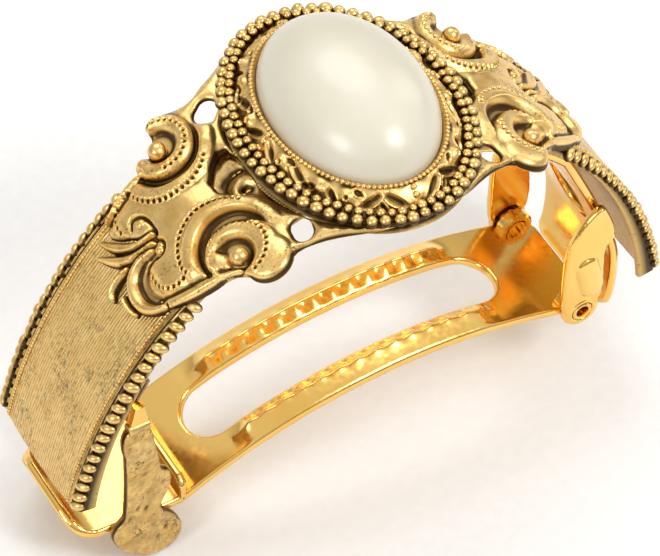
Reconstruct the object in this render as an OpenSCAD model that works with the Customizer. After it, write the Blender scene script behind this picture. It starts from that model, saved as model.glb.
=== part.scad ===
// Arched ponytail barrette: an ornamental band with an oval cabochon setting,
// and a sprung hair clip underneath that closes with a slotted arm.
// X runs along the clip (hinge at +X, clasp at -X), Y across it, +Z up.
// The origin is at the bottom centre, below the clasp feet.

/* [Band] */
// Width of the arched band
band_w = 11.8; // [10:0.1:13]
// Thickness of the band's sheet
band_t = 1.2; // [0.8:0.1:1.4]
// Outer radius of the crown of the arch
crown_r = 25.5; // [25:0.1:27]
// Outer radius of the two steep flanks
flank_r = 38; // [36:0.5:40]
// Angle from the top of the arch at which the crown becomes the flank
crown_angle = 52.7; // [51:0.1:54]
// Angle from the top of the arch at which the band ends
end_angle = 79.8; // [78:0.1:81]
// Height of the band's ends above the clasp feet
end_h = 9.3; // [9.2:0.1:10]
// Diameter of the beaded wire along the band's edges
edge_bead_d = 1.1; // [0.8:0.1:1.2]

/* [Setting] */
// Length of the oval cabochon, across the band
pearl_l = 18; // [17.5:0.1:18.2]
// Width of the oval cabochon, along the band
pearl_w = 13; // [12.5:0.1:13.2]
// Height of the cabochon's dome above its setting
pearl_h = 6.2; // [5:0.1:7]
// Length of the oval setting plate, across the band
plate_l = 24.4; // [24:0.1:25]
// Width of the oval setting plate, along the band
plate_w = 19; // [18.6:0.1:19.4]
// Bead diameter of the outer ring round the setting
outer_bead_d = 1.15; // [0.9:0.05:1.3]
// Bead diameter of the inner ring
inner_bead_d = 0.9; // [0.7:0.05:1]

/* [Clip] */
// Thickness of the clip's strap and ears
clip_t = 0.8; // [0.6:0.1:0.9]
// Width of the strap under the band
strap_w = 10.4; // [9:0.1:10.8]
// Radius of the hinge pin
pin_r = 0.85; // [0.7:0.05:0.9]
// Radial gap between the pin and the arm's lugs
pin_gap = 0.05; // [0.03:0.01:0.08]

/* [Arm] */
// Width of the slotted arm
arm_w = 10.5; // [9.5:0.1:10.5]
// Thickness of the arm's sheet
arm_t = 0.8; // [0.6:0.1:1]
// Width of the slot in the arm
slot_w = 5; // [4.6:0.1:5.4]
// Spacing of the scallops along the slot
scallop_pitch = 1.7; // [1.6:0.1:2]
// Radius to which the arm is bowed
arm_r = 46; // [44:1:50]

/* [Clasp] */
// Thickness of the clasp legs
leg_t = 0.7; // [0.5:0.1:0.8]
// Gap between the arm's flange and each clasp leg
leg_gap = 0.45; // [0.4:0.05:0.6]

/* [Hidden] */
$fn = 64;
antique = "#b8934f";
plated = "#e0a83c";
ivory = "#ece4d0";

// The arch: crown centre on x = 0, flank centres inward of it so the arcs are tangent.
rise = crown_r * (1 - cos(crown_angle)) + flank_r * (cos(crown_angle) - cos(end_angle));
apex_z = end_h + rise;
crown_z = apex_z - crown_r;
flank_x = -(flank_r - crown_r) * sin(crown_angle);
flank_z = crown_z - (flank_r - crown_r) * cos(crown_angle);
half_w = band_w / 2;

// Setting levels.
plate_t = 1;
plate_z = apex_z + 0.1;
bezel_wall = 0.45;
bezel_h = 1.9;

// Clip places.
strap_half = strap_w / 2;
strap_start = 64.3;
skirt_start = 50;
ear_in = arm_w / 2 + 0.2;
ear_out = ear_in + clip_t;
hinge_x = 20.2;
hinge_z = end_h - 1.5;
ear_tip_r = 1.7;
lug_r = 1.55;
lug_t = 1.1;

// Arm places.
arm_half = arm_w / 2;
// The inner face of the arm's lugs.
lug_y = arm_half - 0.05 - lug_t;
arm_x = 5;
arm_top = end_h + 0.8;
slot_left = -11.6;
slot_right = 12.5;
scallop_r = 0.5;
tail_x = 22.4;
flange_x = -17.4;
flange_h = 2.9;
flange_t = 0.8;
flange_half = 5.4;

// Clasp places.
leg_in = flange_half + leg_gap;
leg_out = leg_in + leg_t;
leg_mid = (leg_in + leg_out) / 2;
leg_rise = 7.6;
leg_pivot_z = end_h + leg_rise;
catch_x = -19.6;
catch_r = 0.3;
leg_x0 = -22.6;
leg_x1 = -20.7;
bridge_t = 0.7;
bridge_a0 = 58.5;
bridge_a1 = 63.6;
rivet_a = 61;

// A sector of a ring about the Y axis, on one centre, angles taken from the top towards +X.
module ring_sector(cx, cz, r0, r1, y0, y1, a0, a1) {
    translate([cx, 0, cz])
        rotate([90, 0, 0])
            rotate([0, 0, 90 - a1])
                rotate_extrude(angle = a1 - a0, $fn = 180)
                    translate([r0, -y1])
                        square([r1 - r0, y1 - y0]);
}

// The point of the arch at signed angle a from the top, at depth d below its outer surface.
function arch_point(a, d) = abs(a) <= crown_angle
    ? [(crown_r - d) * sin(a), crown_z + (crown_r - d) * cos(a)]
    : [sign(a) * (flank_x + (flank_r - d) * sin(abs(a))), flank_z + (flank_r - d) * cos(a)];

function arch_line(d, a0, a1, n) = [for (i = [0 : n]) arch_point(a0 + (a1 - a0) * i / n, d)];

// A strip that follows the arch between two angles and two depths.
module arch_strip(d0, d1, y0, y1, a0, a1) {
    n = ceil(abs(a1 - a0) / 2.5);
    translate([0, y1, 0])
        rotate([90, 0, 0])
            linear_extrude(y1 - y0)
                polygon(concat(arch_line(d0, a0, a1, n), arch_line(d1, a1, a0, n)));
}

// Puts its child on the crown, at arc length s from the top, +Z outward.
module on_crown(s) {
    a = s / crown_r * 180 / PI;
    translate([0, 0, crown_z])
        rotate([0, a, 0])
            translate([0, 0, crown_r])
                children();
}

// Puts its child on the right flank at angle a, +Z outward.
module on_flank(a) {
    translate([flank_x, 0, flank_z])
        rotate([0, a, 0])
            translate([0, 0, flank_r])
                children();
}

function oval(rx, ry, n = 72) = [for (i = [0 : n - 1]) [rx * cos(i * 360 / n), ry * sin(i * 360 / n)]];

// An upright oval tube or disc, in half sizes.
module oval_disc(rx, ry, z0, z1) {
    translate([0, 0, z0])
        linear_extrude(z1 - z0)
            polygon(oval(rx, ry));
}

module oval_tube(rx, ry, wall, z0, z1) {
    difference() {
        oval_disc(rx, ry, z0, z1);
        oval_disc(rx - wall, ry - wall, z0 - 1, z1 + 1);
    }
}

// The window beside the setting, cut through scroll and band.
window_s = 11;
module window() {
    on_crown(window_s)
        translate([0, 0, -3])
            linear_extrude(6)
                polygon([[-1.1, -1.1], [-1.1, 3.2], [1.9, 0.4]]);
}

module band() {
    color(antique)
        difference() {
            arch_strip(0, band_t, -half_w, half_w, -end_angle, end_angle);
            window();
            mirror([1, 0, 0]) window();
            rivet_holes();
        }
}

// The beaded wire's strip along one edge of the right panel; it ends at the scroll.
edge_start = 44;
module edge_wire() {
    wire_top = (band_t - edge_bead_d) / 2;
    arch_strip(wire_top, wire_top + edge_bead_d, -half_w - edge_bead_d, -half_w, edge_start, end_angle);
}

module edge_beads_right_near() { color(antique) edge_wire(); }
module edge_beads_right_far() { color(antique) mirror([0, 1, 0]) edge_wire(); }
module edge_beads_left_near() { color(antique) mirror([1, 0, 0]) edge_wire(); }
module edge_beads_left_far() { color(antique) mirror([1, 0, 0]) mirror([0, 1, 0]) edge_wire(); }

// The scroll ornament: an openwork wing between the setting and the end panel,
// outlined flat in the plane that touches the crown at scroll_s.
scroll_s = 15;
scroll_t = 0.8;
c_scroll_near = [12.9, -6.1, 2.9];
c_scroll_far = [13.4, 6.4, 2.5];

module scroll_outline() {
    translate([-scroll_s, 0])
        difference() {
            union() {
                polygon([
                    [6, -9.5], [10.4, -9.3], [12.9, -8], [16, -6.7], [19.8, -5.6],
                    [22.4, -4], [22.8, -1.6], [24, 0.9], [22.4, 3.6], [19.6, 5.6],
                    [16, 6.8], [13, 8.4], [10, 8.8], [6, 9]
                ]);
                translate([c_scroll_near.x, c_scroll_near.y]) circle(r = c_scroll_near.z);
                translate([c_scroll_far.x, c_scroll_far.y]) circle(r = c_scroll_far.z);
            }
            translate([8.7, -7.4]) circle(r = 0.95);
            translate([9.1, 6.7]) circle(r = 0.9);
        }
}

module scroll() {
    difference() {
        intersection() {
            ring_sector(0, crown_z, crown_r, crown_r + scroll_t, -10, 10, 0, 60);
            on_crown(scroll_s)
                translate([0, 0, -5])
                    linear_extrude(10)
                        scroll_outline();
        }
        oval_disc(plate_w / 2, plate_l / 2, 0, apex_z + 5);
        window();
        ball_sockets();
    }
}

module scroll_right() { color(antique) scroll(); }
module scroll_left() { color(antique) mirror([1, 0, 0]) scroll(); }

// Small balls soldered in the eyes of the scrolls: arc length, across, radius.
balls = [[12.9, -6.1, 0.85], [13.4, 6.6, 0.8], [17.9, 2.6, 0.6], [17.8, -0.5, 0.6]];
module ball_at(b) {
    on_crown(b[0])
        translate([0, b[1], scroll_t])
            sphere(r = b[2]);
}

module ball_sockets() { for (b = balls) ball_at(b); }

module scroll_balls() {
    intersection() {
        ball_sockets();
        ring_sector(0, crown_z, crown_r, crown_r + 3, -10, 10, 0, 60);
    }
}

module scroll_balls_right() { color(antique) scroll_balls(); }
module scroll_balls_left() { color(antique) mirror([1, 0, 0]) scroll_balls(); }

// The oval plate with a saddle under it that sits on the band.
module setting_plate() {
    color(antique)
        difference() {
            union() {
                oval_disc(plate_w / 2, plate_l / 2, plate_z - plate_t, plate_z);
                intersection() {
                    oval_disc(plate_w / 2, plate_l / 2, apex_z - 4, plate_z);
                    translate([-20, -half_w, 0]) cube([40, band_w, apex_z + 5]);
                }
            }
            translate([0, 20, crown_z])
                rotate([90, 0, 0])
                    cylinder(r = crown_r, h = 40, $fn = 180);
        }
}

ring_out_x = plate_w / 2;
ring_out_y = plate_l / 2;
module outer_bead_ring() {
    color(antique)
        oval_tube(ring_out_x, ring_out_y, outer_bead_d, plate_z, plate_z + outer_bead_d * 0.7);
}

module inner_bead_ring() {
    color(antique)
        oval_tube(ring_out_x - outer_bead_d, ring_out_y - outer_bead_d, inner_bead_d,
            plate_z, plate_z + inner_bead_d * 1.1);
}

border_out_x = ring_out_x - outer_bead_d - inner_bead_d;
border_out_y = ring_out_y - outer_bead_d - inner_bead_d;
bezel_out_x = pearl_w / 2 + bezel_wall;
bezel_out_y = pearl_l / 2 + bezel_wall;
module leaf_border() {
    color(antique)
        difference() {
            oval_disc(border_out_x, border_out_y, plate_z, plate_z + 0.9);
            oval_disc(bezel_out_x, bezel_out_y, plate_z - 1, plate_z + 3);
        }
}

module bezel_cup() {
    color(antique)
        difference() {
            oval_disc(bezel_out_x, bezel_out_y, plate_z, plate_z + bezel_h);
            oval_disc(pearl_w / 2, pearl_l / 2, plate_z + 0.4, plate_z + 3);
        }
}

// The cabochon: a domed oval on a short straight girdle.
girdle_h = 1;
module pearl_cabochon() {
    color(ivory) {
        oval_disc(pearl_w / 2, pearl_l / 2, plate_z + 0.4, plate_z + 0.4 + girdle_h);
        translate([0, 0, plate_z + 0.4 + girdle_h])
            intersection() {
                scale([pearl_w / 2, pearl_l / 2, pearl_h - girdle_h]) sphere(r = 1, $fn = 36);
                translate([-20, -20, 0]) cube([40, 40, 20]);
            }
    }
}

// The ear's outline, in X and height above the band's ends.
module ear_outline() {
    polygon([
        [18.5, -1.5], [18.2, 0.1], [18.1, 6.4], [18.9, 8.2], [20, 9.8], [21.3, 10.8], [22, 9.4],
        [22.8, 7.2], [22.6, 6.2], [21.9, 5.5], [22, 3], [22.2, 1.1], [21.9, -1.5]
    ]);
    translate([hinge_x, hinge_z - end_h]) circle(r = ear_tip_r);
}

module ear(y0) {
    translate([0, y0 + clip_t, end_h])
        rotate([90, 0, 0])
            linear_extrude(clip_t)
                ear_outline();
}

// A slot's outline along X: half the distance between its round ends, and their radius.
module slot_outline(half, r) {
    translate([-half, -r]) square([2 * half, 2 * r]);
    for (x = [-half, half])
        translate([x, 0])
            circle(r = r);
}

// The strap slot near the left end of the clip base.
slot_a = 47;
strap_slot_half = 2.2;
strap_slot_r = 1.4;
module strap_slot() {
    translate([0, 0, crown_z])
        rotate([0, -slot_a, 0])
            translate([0, 0, crown_r - 5])
                linear_extrude(8)
                    slot_outline(strap_slot_half, strap_slot_r);
}

// The slot in the skirt, about a height above the band's ends.
skirt_slot_h = 6.8;
module skirt_slot() {
    translate([18, 0, end_h + skirt_slot_h])
        rotate([0, 90, 0])
            linear_extrude(8)
                slot_outline(strap_slot_half, strap_slot_r);
}

// The skirt: the strap's right end, which leaves the band and hangs beside the hinge.
// Side outlines in X and height above the band's ends.
heel_in = [[20.2, 10.8], [20.95, 9], [21.75, 7.1]];
heel_out = [[21, 11.1], [21.75, 9.3], [22.5, 7.4]];
skirt_in = concat(heel_in, [[23.2, 3.4], [23.5, 1], [23.5, -2.6]]);
skirt_out = concat(heel_out, [[23.95, 3.8], [24.3, 1], [24.3, -2.6]]);
function lifted(line) = [for (p = line) [p[0], p[1] + end_h]];
function back(line) = [for (i = [len(line) - 1 : -1 : 0]) line[i]];

module side_plate(outline, half) {
    translate([0, half, 0])
        rotate([90, 0, 0])
            linear_extrude(2 * half)
                polygon(outline);
}

module skirt() {
    side_plate(concat(
        arch_line(band_t, skirt_start - 2, skirt_start, 1), lifted(skirt_out),
        lifted(back(skirt_in)), arch_line(band_t + clip_t, skirt_start, skirt_start - 2, 1)
    ), strap_half);
    side_plate(lifted(concat(heel_out, back(heel_in))), ear_out);
}

module clip_base() {
    color(plated)
        difference() {
            union() {
                arch_strip(band_t, band_t + clip_t, -strap_half, strap_half, -strap_start, skirt_start);
                skirt();
                ear(ear_in);
                ear(-ear_out);
            }
            strap_slot();
            skirt_slot();
            translate([hinge_x, 20, hinge_z])
                rotate([90, 0, 0])
                    cylinder(r = pin_r, h = 40);
            rivet_holes();
            clasp_rivet_hole();
        }
}

// Two rivets hold the clip base to the band, under the setting.
rivet_s = 5.4;
rivet_r = 0.7;
rivet_len = band_t + clip_t;
rivet_head = 0.6;
module rivet_holes() {
    for (side = [-1, 1])
        on_crown(side * rivet_s)
            translate([0, 0, -rivet_len - 1])
                cylinder(r = rivet_r, h = rivet_len + 2);
}

module base_rivets() {
    color(plated)
        for (side = [-1, 1])
            on_crown(side * rivet_s) {
                translate([0, 0, -rivet_len]) cylinder(r = rivet_r, h = rivet_len - 0.1);
                translate([0, 0, -rivet_len - rivet_head]) cylinder(r1 = 0.8, r2 = 1.2, h = rivet_head);
            }
}

// The clasp: a bridge riveted under the strap's left end, with a springy leg at each side.
bridge_d = band_t + clip_t;
module clasp_rivet_hole() {
    mirror([1, 0, 0])
        on_flank(rivet_a)
            translate([0, 0, -bridge_d - bridge_t - 1])
                cylinder(r = rivet_r, h = clip_t + bridge_t + 1.6);
}

module clasp_rivet() {
    color(antique)
        mirror([1, 0, 0])
            on_flank(rivet_a)
                translate([0, 0, -bridge_d - bridge_t]) {
                    cylinder(r = rivet_r, h = clip_t + bridge_t - 0.1);
                    translate([0, 0, -rivet_head]) cylinder(r1 = 0.8, r2 = 1.3, h = rivet_head);
                }
}

module clasp_bridge() {
    color(antique) {
        difference() {
            arch_strip(bridge_d + 0.03, bridge_d + bridge_t, -leg_in, leg_in, -bridge_a1, -bridge_a0);
            clasp_rivet_hole();
        }
        for (side = [-1, 1])
            translate([leg_x0, side * leg_mid - leg_t / 2, leg_pivot_z + leg_t / 2 + 0.05])
                cube([leg_x1 - leg_x0, leg_t, 2]);
    }
}

// One clasp leg: outline in X and height above the band's ends, with a rounded top
// that turns on itself, a catch bulge at the arm's level and a wide foot.
module leg_outline() {
    polygon([
        [leg_x0, leg_rise], [leg_x1, leg_rise], [-20.2, 5], [-19.8, 3], [-19.7, 1.5], [-19.3, 1.1],
        [-18.9, 0.9], [-18.7, 0], [-18.8, -1.3], [-19.3, -2.3], [-19.7, -3.4], [-19.3, -4.1],
        [-18.3, -5.2], [-17.7, -6.5], [-17.6, -7.6], [-18.1, -8.6], [-19.1, -end_h],
        [-20.6, -end_h], [-22, -8.4], [-23.3, -7], [-24, -5.5], [-23.9, -4.4],
        [-23, -3.6], [-22.8, -3], [-22.8, 4.2], [-23.1, 5.2], [-23.1, 6.8]
    ]);
}

module clasp_leg() {
    translate([0, leg_out, end_h])
        rotate([90, 0, 0])
            linear_extrude(leg_t)
                leg_outline();
    translate([leg_x0, leg_mid, leg_pivot_z])
        rotate([0, 90, 0])
            cylinder(d = leg_t, h = leg_x1 - leg_x0);
    translate([catch_x, leg_in, end_h])
        sphere(r = catch_r);
}

module clasp_leg_far() { color(antique) clasp_leg(); }
module clasp_leg_near() { color(antique) mirror([0, 1, 0]) clasp_leg(); }

// The hinge pin: two short hollow rivets, flush with the ears and the arm's lugs.
module hinge_pin() {
    color(plated)
        for (side = [-1, 1])
            translate([hinge_x, 0, hinge_z])
                rotate([-90 * side, 0, 0])
                    difference() {
                        translate([0, 0, lug_y]) cylinder(r = pin_r, h = ear_out - lug_y);
                        translate([0, 0, lug_y - 1]) cylinder(r = pin_r - 0.3, h = ear_out - lug_y + 2);
                    }
}

// The arm: a bowed, slotted strip with two lugs on the pin, a cross flange and a thumb tab.
arm_cz = arm_top - arm_r;
arm_a_left = asin((flange_x - arm_x) / arm_r);
arm_a_right = asin((tail_x - arm_x) / arm_r);
arm_left_z = arm_cz + arm_r * cos(arm_a_left);
tab_x = -26.4;
tab_z = end_h - 5.6;

function arm_line(r, a0, a1, n = 24) = [
    for (i = [0 : n]) [arm_x + r * sin(a0 + (a1 - a0) * i / n), arm_cz + r * cos(a0 + (a1 - a0) * i / n)]
];

module slot_cut() {
    translate([slot_left, -slot_w / 2, 0]) cube([slot_right - slot_left, slot_w, arm_top + 5]);
    for (x = [slot_left, slot_right])
        translate([x, 0, 0])
            cylinder(d = slot_w, h = arm_top + 5);
    for (x = [slot_left + scallop_r : scallop_pitch : slot_right - scallop_r])
        for (y = [-slot_w / 2, slot_w / 2])
            translate([x, y, 0])
                cylinder(r = scallop_r, h = arm_top + 5, $fn = 24);
}

// The arm's side outline: bowed sheet, flange standing up at its left end, then the tab with its lip.
module arm_outline() {
    flange_a = asin((flange_x + flange_t - arm_x) / arm_r);
    polygon(concat(
        arm_line(arm_r - arm_t, arm_a_right, arm_a_left),
        [
            [-24.2, tab_z - 0.1], [-26, tab_z], [tab_x - 0.2, tab_z + 1.2],
            [-26.2, tab_z + 1.4], [-25.6, tab_z + arm_t], [-24.2, tab_z + arm_t],
            [flange_x, arm_left_z], [flange_x, arm_left_z + flange_h - arm_t],
            [flange_x + flange_t, arm_left_z + flange_h - arm_t]
        ],
        arm_line(arm_r, flange_a, arm_a_right)
    ));
}

module arm() {
    color(plated)
        difference() {
            union() {
                difference() {
                    translate([0, arm_half, 0])
                        rotate([90, 0, 0])
                            linear_extrude(arm_w)
                                arm_outline();
                    slot_cut();
                }
                translate([flange_x + 0.05, -flange_half, arm_left_z + 0.3])
                    cube([flange_t - 0.1, 2 * flange_half, flange_h - arm_t - 0.4]);
                for (side = [-1, 1])
                    translate([hinge_x, 0, hinge_z])
                        rotate([-90 * side, 0, 0])
                            translate([0, 0, lug_y]) cylinder(r = lug_r, h = lug_t);
            }
            for (side = [-1, 1])
                translate([hinge_x, 0, hinge_z])
                    rotate([-90 * side, 0, 0])
                        translate([0, 0, lug_y - 0.15]) cylinder(r = pin_r + pin_gap, h = 6);
        }
}

band();
edge_beads_left_near();
edge_beads_left_far();
edge_beads_right_near();
edge_beads_right_far();
scroll_left();
scroll_right();
scroll_balls_left();
scroll_balls_right();
setting_plate();
leaf_border();
outer_bead_ring();
inner_bead_ring();
bezel_cup();
pearl_cabochon();
clip_base();
base_rivets();
clasp_bridge();
clasp_rivet();
clasp_leg_near();
clasp_leg_far();
hinge_pin();
arm();
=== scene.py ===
import math

import bmesh
import bpy
import numpy as np
from mathutils import Matrix, Vector


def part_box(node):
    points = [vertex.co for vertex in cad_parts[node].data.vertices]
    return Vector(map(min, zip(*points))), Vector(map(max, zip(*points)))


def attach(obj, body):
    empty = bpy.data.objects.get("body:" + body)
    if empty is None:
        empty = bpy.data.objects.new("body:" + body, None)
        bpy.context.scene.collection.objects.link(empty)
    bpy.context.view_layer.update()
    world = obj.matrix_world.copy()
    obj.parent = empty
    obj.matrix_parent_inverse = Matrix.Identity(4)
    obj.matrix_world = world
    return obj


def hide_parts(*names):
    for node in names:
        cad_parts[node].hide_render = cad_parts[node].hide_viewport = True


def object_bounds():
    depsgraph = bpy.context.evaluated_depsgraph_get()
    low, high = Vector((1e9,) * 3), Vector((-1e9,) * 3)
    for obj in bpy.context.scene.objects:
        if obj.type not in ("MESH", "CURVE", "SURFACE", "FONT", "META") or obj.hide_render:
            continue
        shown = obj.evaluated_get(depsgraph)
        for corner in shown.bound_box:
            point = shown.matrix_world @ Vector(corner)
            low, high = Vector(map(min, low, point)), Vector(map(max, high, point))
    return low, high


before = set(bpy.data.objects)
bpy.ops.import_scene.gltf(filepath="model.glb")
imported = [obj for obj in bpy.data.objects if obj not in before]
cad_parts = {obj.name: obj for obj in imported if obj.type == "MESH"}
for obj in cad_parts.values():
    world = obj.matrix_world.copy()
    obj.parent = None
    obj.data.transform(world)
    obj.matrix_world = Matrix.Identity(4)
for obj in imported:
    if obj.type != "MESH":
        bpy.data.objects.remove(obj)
cad_low, cad_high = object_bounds()

# Everything below is written in millimetres and scaled once, when a mesh is made.
MM = 0.001
RNG = np.random.default_rng(7)


def node_box(node):
    """A node's lowest and highest corner, in millimetres."""
    low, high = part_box(node)
    return Vector(low) / MM, Vector(high) / MM


# ---- places from the frame

_, BAND_HIGH = node_box("band")
APEX_Z = BAND_HIGH.z
BAND_HALF = BAND_HIGH.y
# The arch from the side: a crown arc, and a flatter arc tangent to it on each flank.
BAND_T = 1.2
CROWN_R = 25.5
FLANK_R = 38.0
CROWN_A = math.radians(52.7)
END_A = math.radians(79.8)
CROWN_S = CROWN_R * CROWN_A
END_S = CROWN_S + FLANK_R * (END_A - CROWN_A)
CROWN_Z = APEX_Z - CROWN_R
FLANK_X = -(FLANK_R - CROWN_R) * math.sin(CROWN_A)
FLANK_Z = CROWN_Z - (FLANK_R - CROWN_R) * math.cos(CROWN_A)
# How high the band's ends stand above the clasp feet.
END_H = 9.3

_, PLATE_HIGH = node_box("setting_plate")
PLATE_Z = PLATE_HIGH.z
PLATE_X = PLATE_HIGH.x
PLATE_Y = PLATE_HIGH.y
PEARL_LOW, PEARL_HIGH = node_box("pearl_cabochon")
PIN_LOW, PIN_HIGH = node_box("hinge_pin")
PIN_X = (PIN_LOW.x + PIN_HIGH.x) / 2
PIN_Z = (PIN_LOW.z + PIN_HIGH.z) / 2
PIN_R = (PIN_HIGH.z - PIN_LOW.z) / 2
EAR_OUT = PIN_HIGH.y
ARM_LOW, ARM_HIGH = node_box("arm")
LEG_LOW, LEG_HIGH = node_box("clasp_leg_far")
SHEET_T = 0.8


def arch(s, y, h):
    """The point at arc length s from the top, y across, and height h above the band."""
    s, y, h = np.broadcast_arrays(np.asarray(s, float), y, h)
    far = np.abs(s) > CROWN_S
    a = np.where(far, CROWN_A + (np.abs(s) - CROWN_S) / FLANK_R, np.abs(s) / CROWN_R)
    r = np.where(far, FLANK_R, CROWN_R) + h
    x = np.sign(s) * (np.where(far, FLANK_X, 0) + r * np.sin(a))
    z = np.where(far, FLANK_Z, CROWN_Z) + r * np.cos(a)
    return np.stack([x, y, z], -1)


def on_arch(s, y, h):
    """A point of the arch and its unit directions: along, across and outward."""
    p = arch(s, y, h)
    along = arch(s + 0.01, y, h) - arch(s - 0.01, y, h)
    out = arch(s, y, h + 0.01) - p
    along, out = along / np.linalg.norm(along), out / np.linalg.norm(out)
    return p, np.array([along, [0, 1, 0], out])


def arch_s(angle_deg):
    """The arc length at an angle from the top of the arch, in degrees."""
    a = math.radians(angle_deg)
    return CROWN_R * a if a <= CROWN_A else CROWN_S + FLANK_R * (a - CROWN_A)


# ---- mesh helpers

# A direction that no axis of a turned piece lies along.
ASKEW = (0.37, 0.91, 0.17)


def mesh_object(name, points, quads, patina_and_shade=None, flat=None, smooth=60):
    """A mesh object from points in millimetres and an array of quads or triangles."""
    points = np.asarray(points, float)
    quads = np.asarray(quads, np.int64)
    a, b, c = (points[quads[:, i]] for i in (0, 1, 2))
    d = points[quads[:, -1]]
    volume = np.einsum("ij,ij->i", a, np.cross(b, c)).sum()
    volume += np.einsum("ij,ij->i", a, np.cross(c, d)).sum()
    if volume < 0:
        quads = quads[:, ::-1]
    real = quads != np.roll(quads, -1, axis=1)
    loops, sides = quads[real], real.sum(1)
    mesh = bpy.data.meshes.new(name)
    mesh.vertices.add(len(points))
    mesh.vertices.foreach_set("co", (points * MM).astype(np.float32).ravel())
    mesh.loops.add(len(loops))
    mesh.loops.foreach_set("vertex_index", loops.astype(np.int32))
    mesh.polygons.add(len(quads))
    starts = np.concatenate([[0], np.cumsum(sides)[:-1]])
    mesh.polygons.foreach_set("loop_start", starts.astype(np.int32))
    mesh.polygons.foreach_set("use_smooth", np.ones(len(quads), bool))
    for key, data, kind in (("patina_and_shade", patina_and_shade, "FLOAT"), ("flat", flat, "FLOAT_VECTOR")):
        if data is not None:
            attribute = mesh.attributes.new(key, kind, "POINT")
            field = "value" if kind == "FLOAT" else "vector"
            attribute.data.foreach_set(field, np.asarray(data, np.float32).ravel())
    mesh.update(calc_edges=True)
    mesh.validate()
    mesh.set_sharp_from_angle(angle=math.radians(smooth))
    piece = bpy.data.objects.new(name, mesh)
    bpy.context.scene.collection.objects.link(piece)
    return piece


def blur(field, weight, radius):
    """A weighted box blur of a grid, run twice, that ignores cells of no weight."""
    def box(a):
        for axis in (0, 1):
            pad = [(radius + 1, radius) if i == axis else (0, 0) for i in (0, 1)]
            total = np.cumsum(np.pad(a, pad), axis=axis)
            n = a.shape[axis]
            hi = np.take(total, np.arange(2 * radius + 1, n + 2 * radius + 1), axis=axis)
            lo = np.take(total, np.arange(0, n), axis=axis)
            a = (hi - lo) / (2 * radius + 1)
        return a
    num, den = box(box(field * weight)), box(box(weight))
    return num / np.maximum(den, 1e-6)


def sheet(name, u_range, v_range, step, sdf, top, bottom, put, cavity=0.12, reach=0.45, under=0.25):
    """A closed sheet over the part of a grid where sdf is negative.

    top and bottom give the heights of its two faces from u, v and the distance inside the
    outline; put turns u, v and a height into a point. The patina darkens hollows, and under
    gives the lower face a fixed darkness that the side walls blend into, which in the band's windows is
    painted shade."""
    nu = int(round((u_range[1] - u_range[0]) / step)) + 1
    nv = int(round((v_range[1] - v_range[0]) / step)) + 1
    u, v = np.meshgrid(np.linspace(*u_range, nu), np.linspace(*v_range, nv), indexing="ij")
    d = sdf(u, v)
    keep = (d[:-1, :-1] + d[1:, :-1] + d[:-1, 1:] + d[1:, 1:]) < 0
    count = np.zeros(u.shape, int)
    for i, j in ((0, 0), (1, 0), (0, 1), (1, 1)):
        count[i:nu - 1 + i, j:nv - 1 + j] += keep
    used, edge = count > 0, (count > 0) & (count < 4)
    # The grid's outermost points slide onto the outline.
    e = step * 0.05
    for _ in range(3):
        pu, pv = u[edge], v[edge]
        here = sdf(pu, pv)
        gu, gv = (sdf(pu + e, pv) - here) / e, (sdf(pu, pv + e) - here) / e
        norm = np.maximum(gu * gu + gv * gv, 0.2)
        u[edge] = pu - np.clip(here * gu / norm, -step, step)
        v[edge] = pv - np.clip(here * gv / norm, -step, step)
    inside = np.maximum(-sdf(u, v), 0)
    inside[edge] = 0
    high, low = top(u, v, inside), bottom(u, v, inside)
    weight = used.astype(float)
    radius = max(1, int(round(reach / step / 2)))
    hollow = np.clip((blur(high, weight, radius) - high) / cavity, -1, 1)
    index = np.full(u.shape, -1)
    index[used] = np.arange(used.sum())
    n = used.sum()
    q = [index[:-1, :-1], index[1:, :-1], index[1:, 1:], index[:-1, 1:]]
    quads = [np.stack([c[keep] for c in q], -1)]
    quads.append(quads[0][:, ::-1] + n)
    padded = np.pad(keep, 1)
    for (di, dj), (a, b) in zip(((0, -1), (1, 0), (0, 1), (-1, 0)), ((0, 1), (1, 2), (2, 3), (3, 0))):
        open_side = keep & ~padded[1 + di:nu + di, 1 + dj:nv + dj]
        p0, p1 = q[a][open_side], q[b][open_side]
        quads.append(np.stack([p1, p0, p0 + n, p1 + n], -1))
    points = np.concatenate([put(u[used], v[used], high[used]), put(u[used], v[used], low[used])])
    # Hollows take the patina; the lower face takes under, a fixed darkness that is painted shade on the
    # band's window walls.
    patina_and_shade = np.concatenate([hollow[used], np.full(n, under)])
    flat = np.stack([u[used], v[used], high[used]], -1)
    return mesh_object(name, points, np.concatenate(quads), patina_and_shade, np.concatenate([flat, flat]))


def grid_quads(n, m, closed=True):
    """Quads over n closed rings of m points; closed also joins the last ring to the first."""
    i, j = np.meshgrid(np.arange(n if closed else n - 1), np.arange(m), indexing="ij")
    i2, j2 = (i + 1) % n, (j + 1) % m
    return np.stack([i * m + j, i2 * m + j, i2 * m + j2, i * m + j2], -1).reshape(-1, 4)


def fan(ring, centre):
    """Triangles from a ring of points to a centre."""
    tip = np.full(len(ring), centre)
    return np.stack([ring, np.roll(ring, -1), tip, tip], -1)


def ball_template(level):
    """Points and triangles of a unit ball."""
    bm = bmesh.new()
    bmesh.ops.create_icosphere(bm, subdivisions=level, radius=1)
    points = np.array([v.co for v in bm.verts])
    faces = np.array([[v.index for v in f.verts] for f in bm.faces])
    bm.free()
    return points, faces


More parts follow.
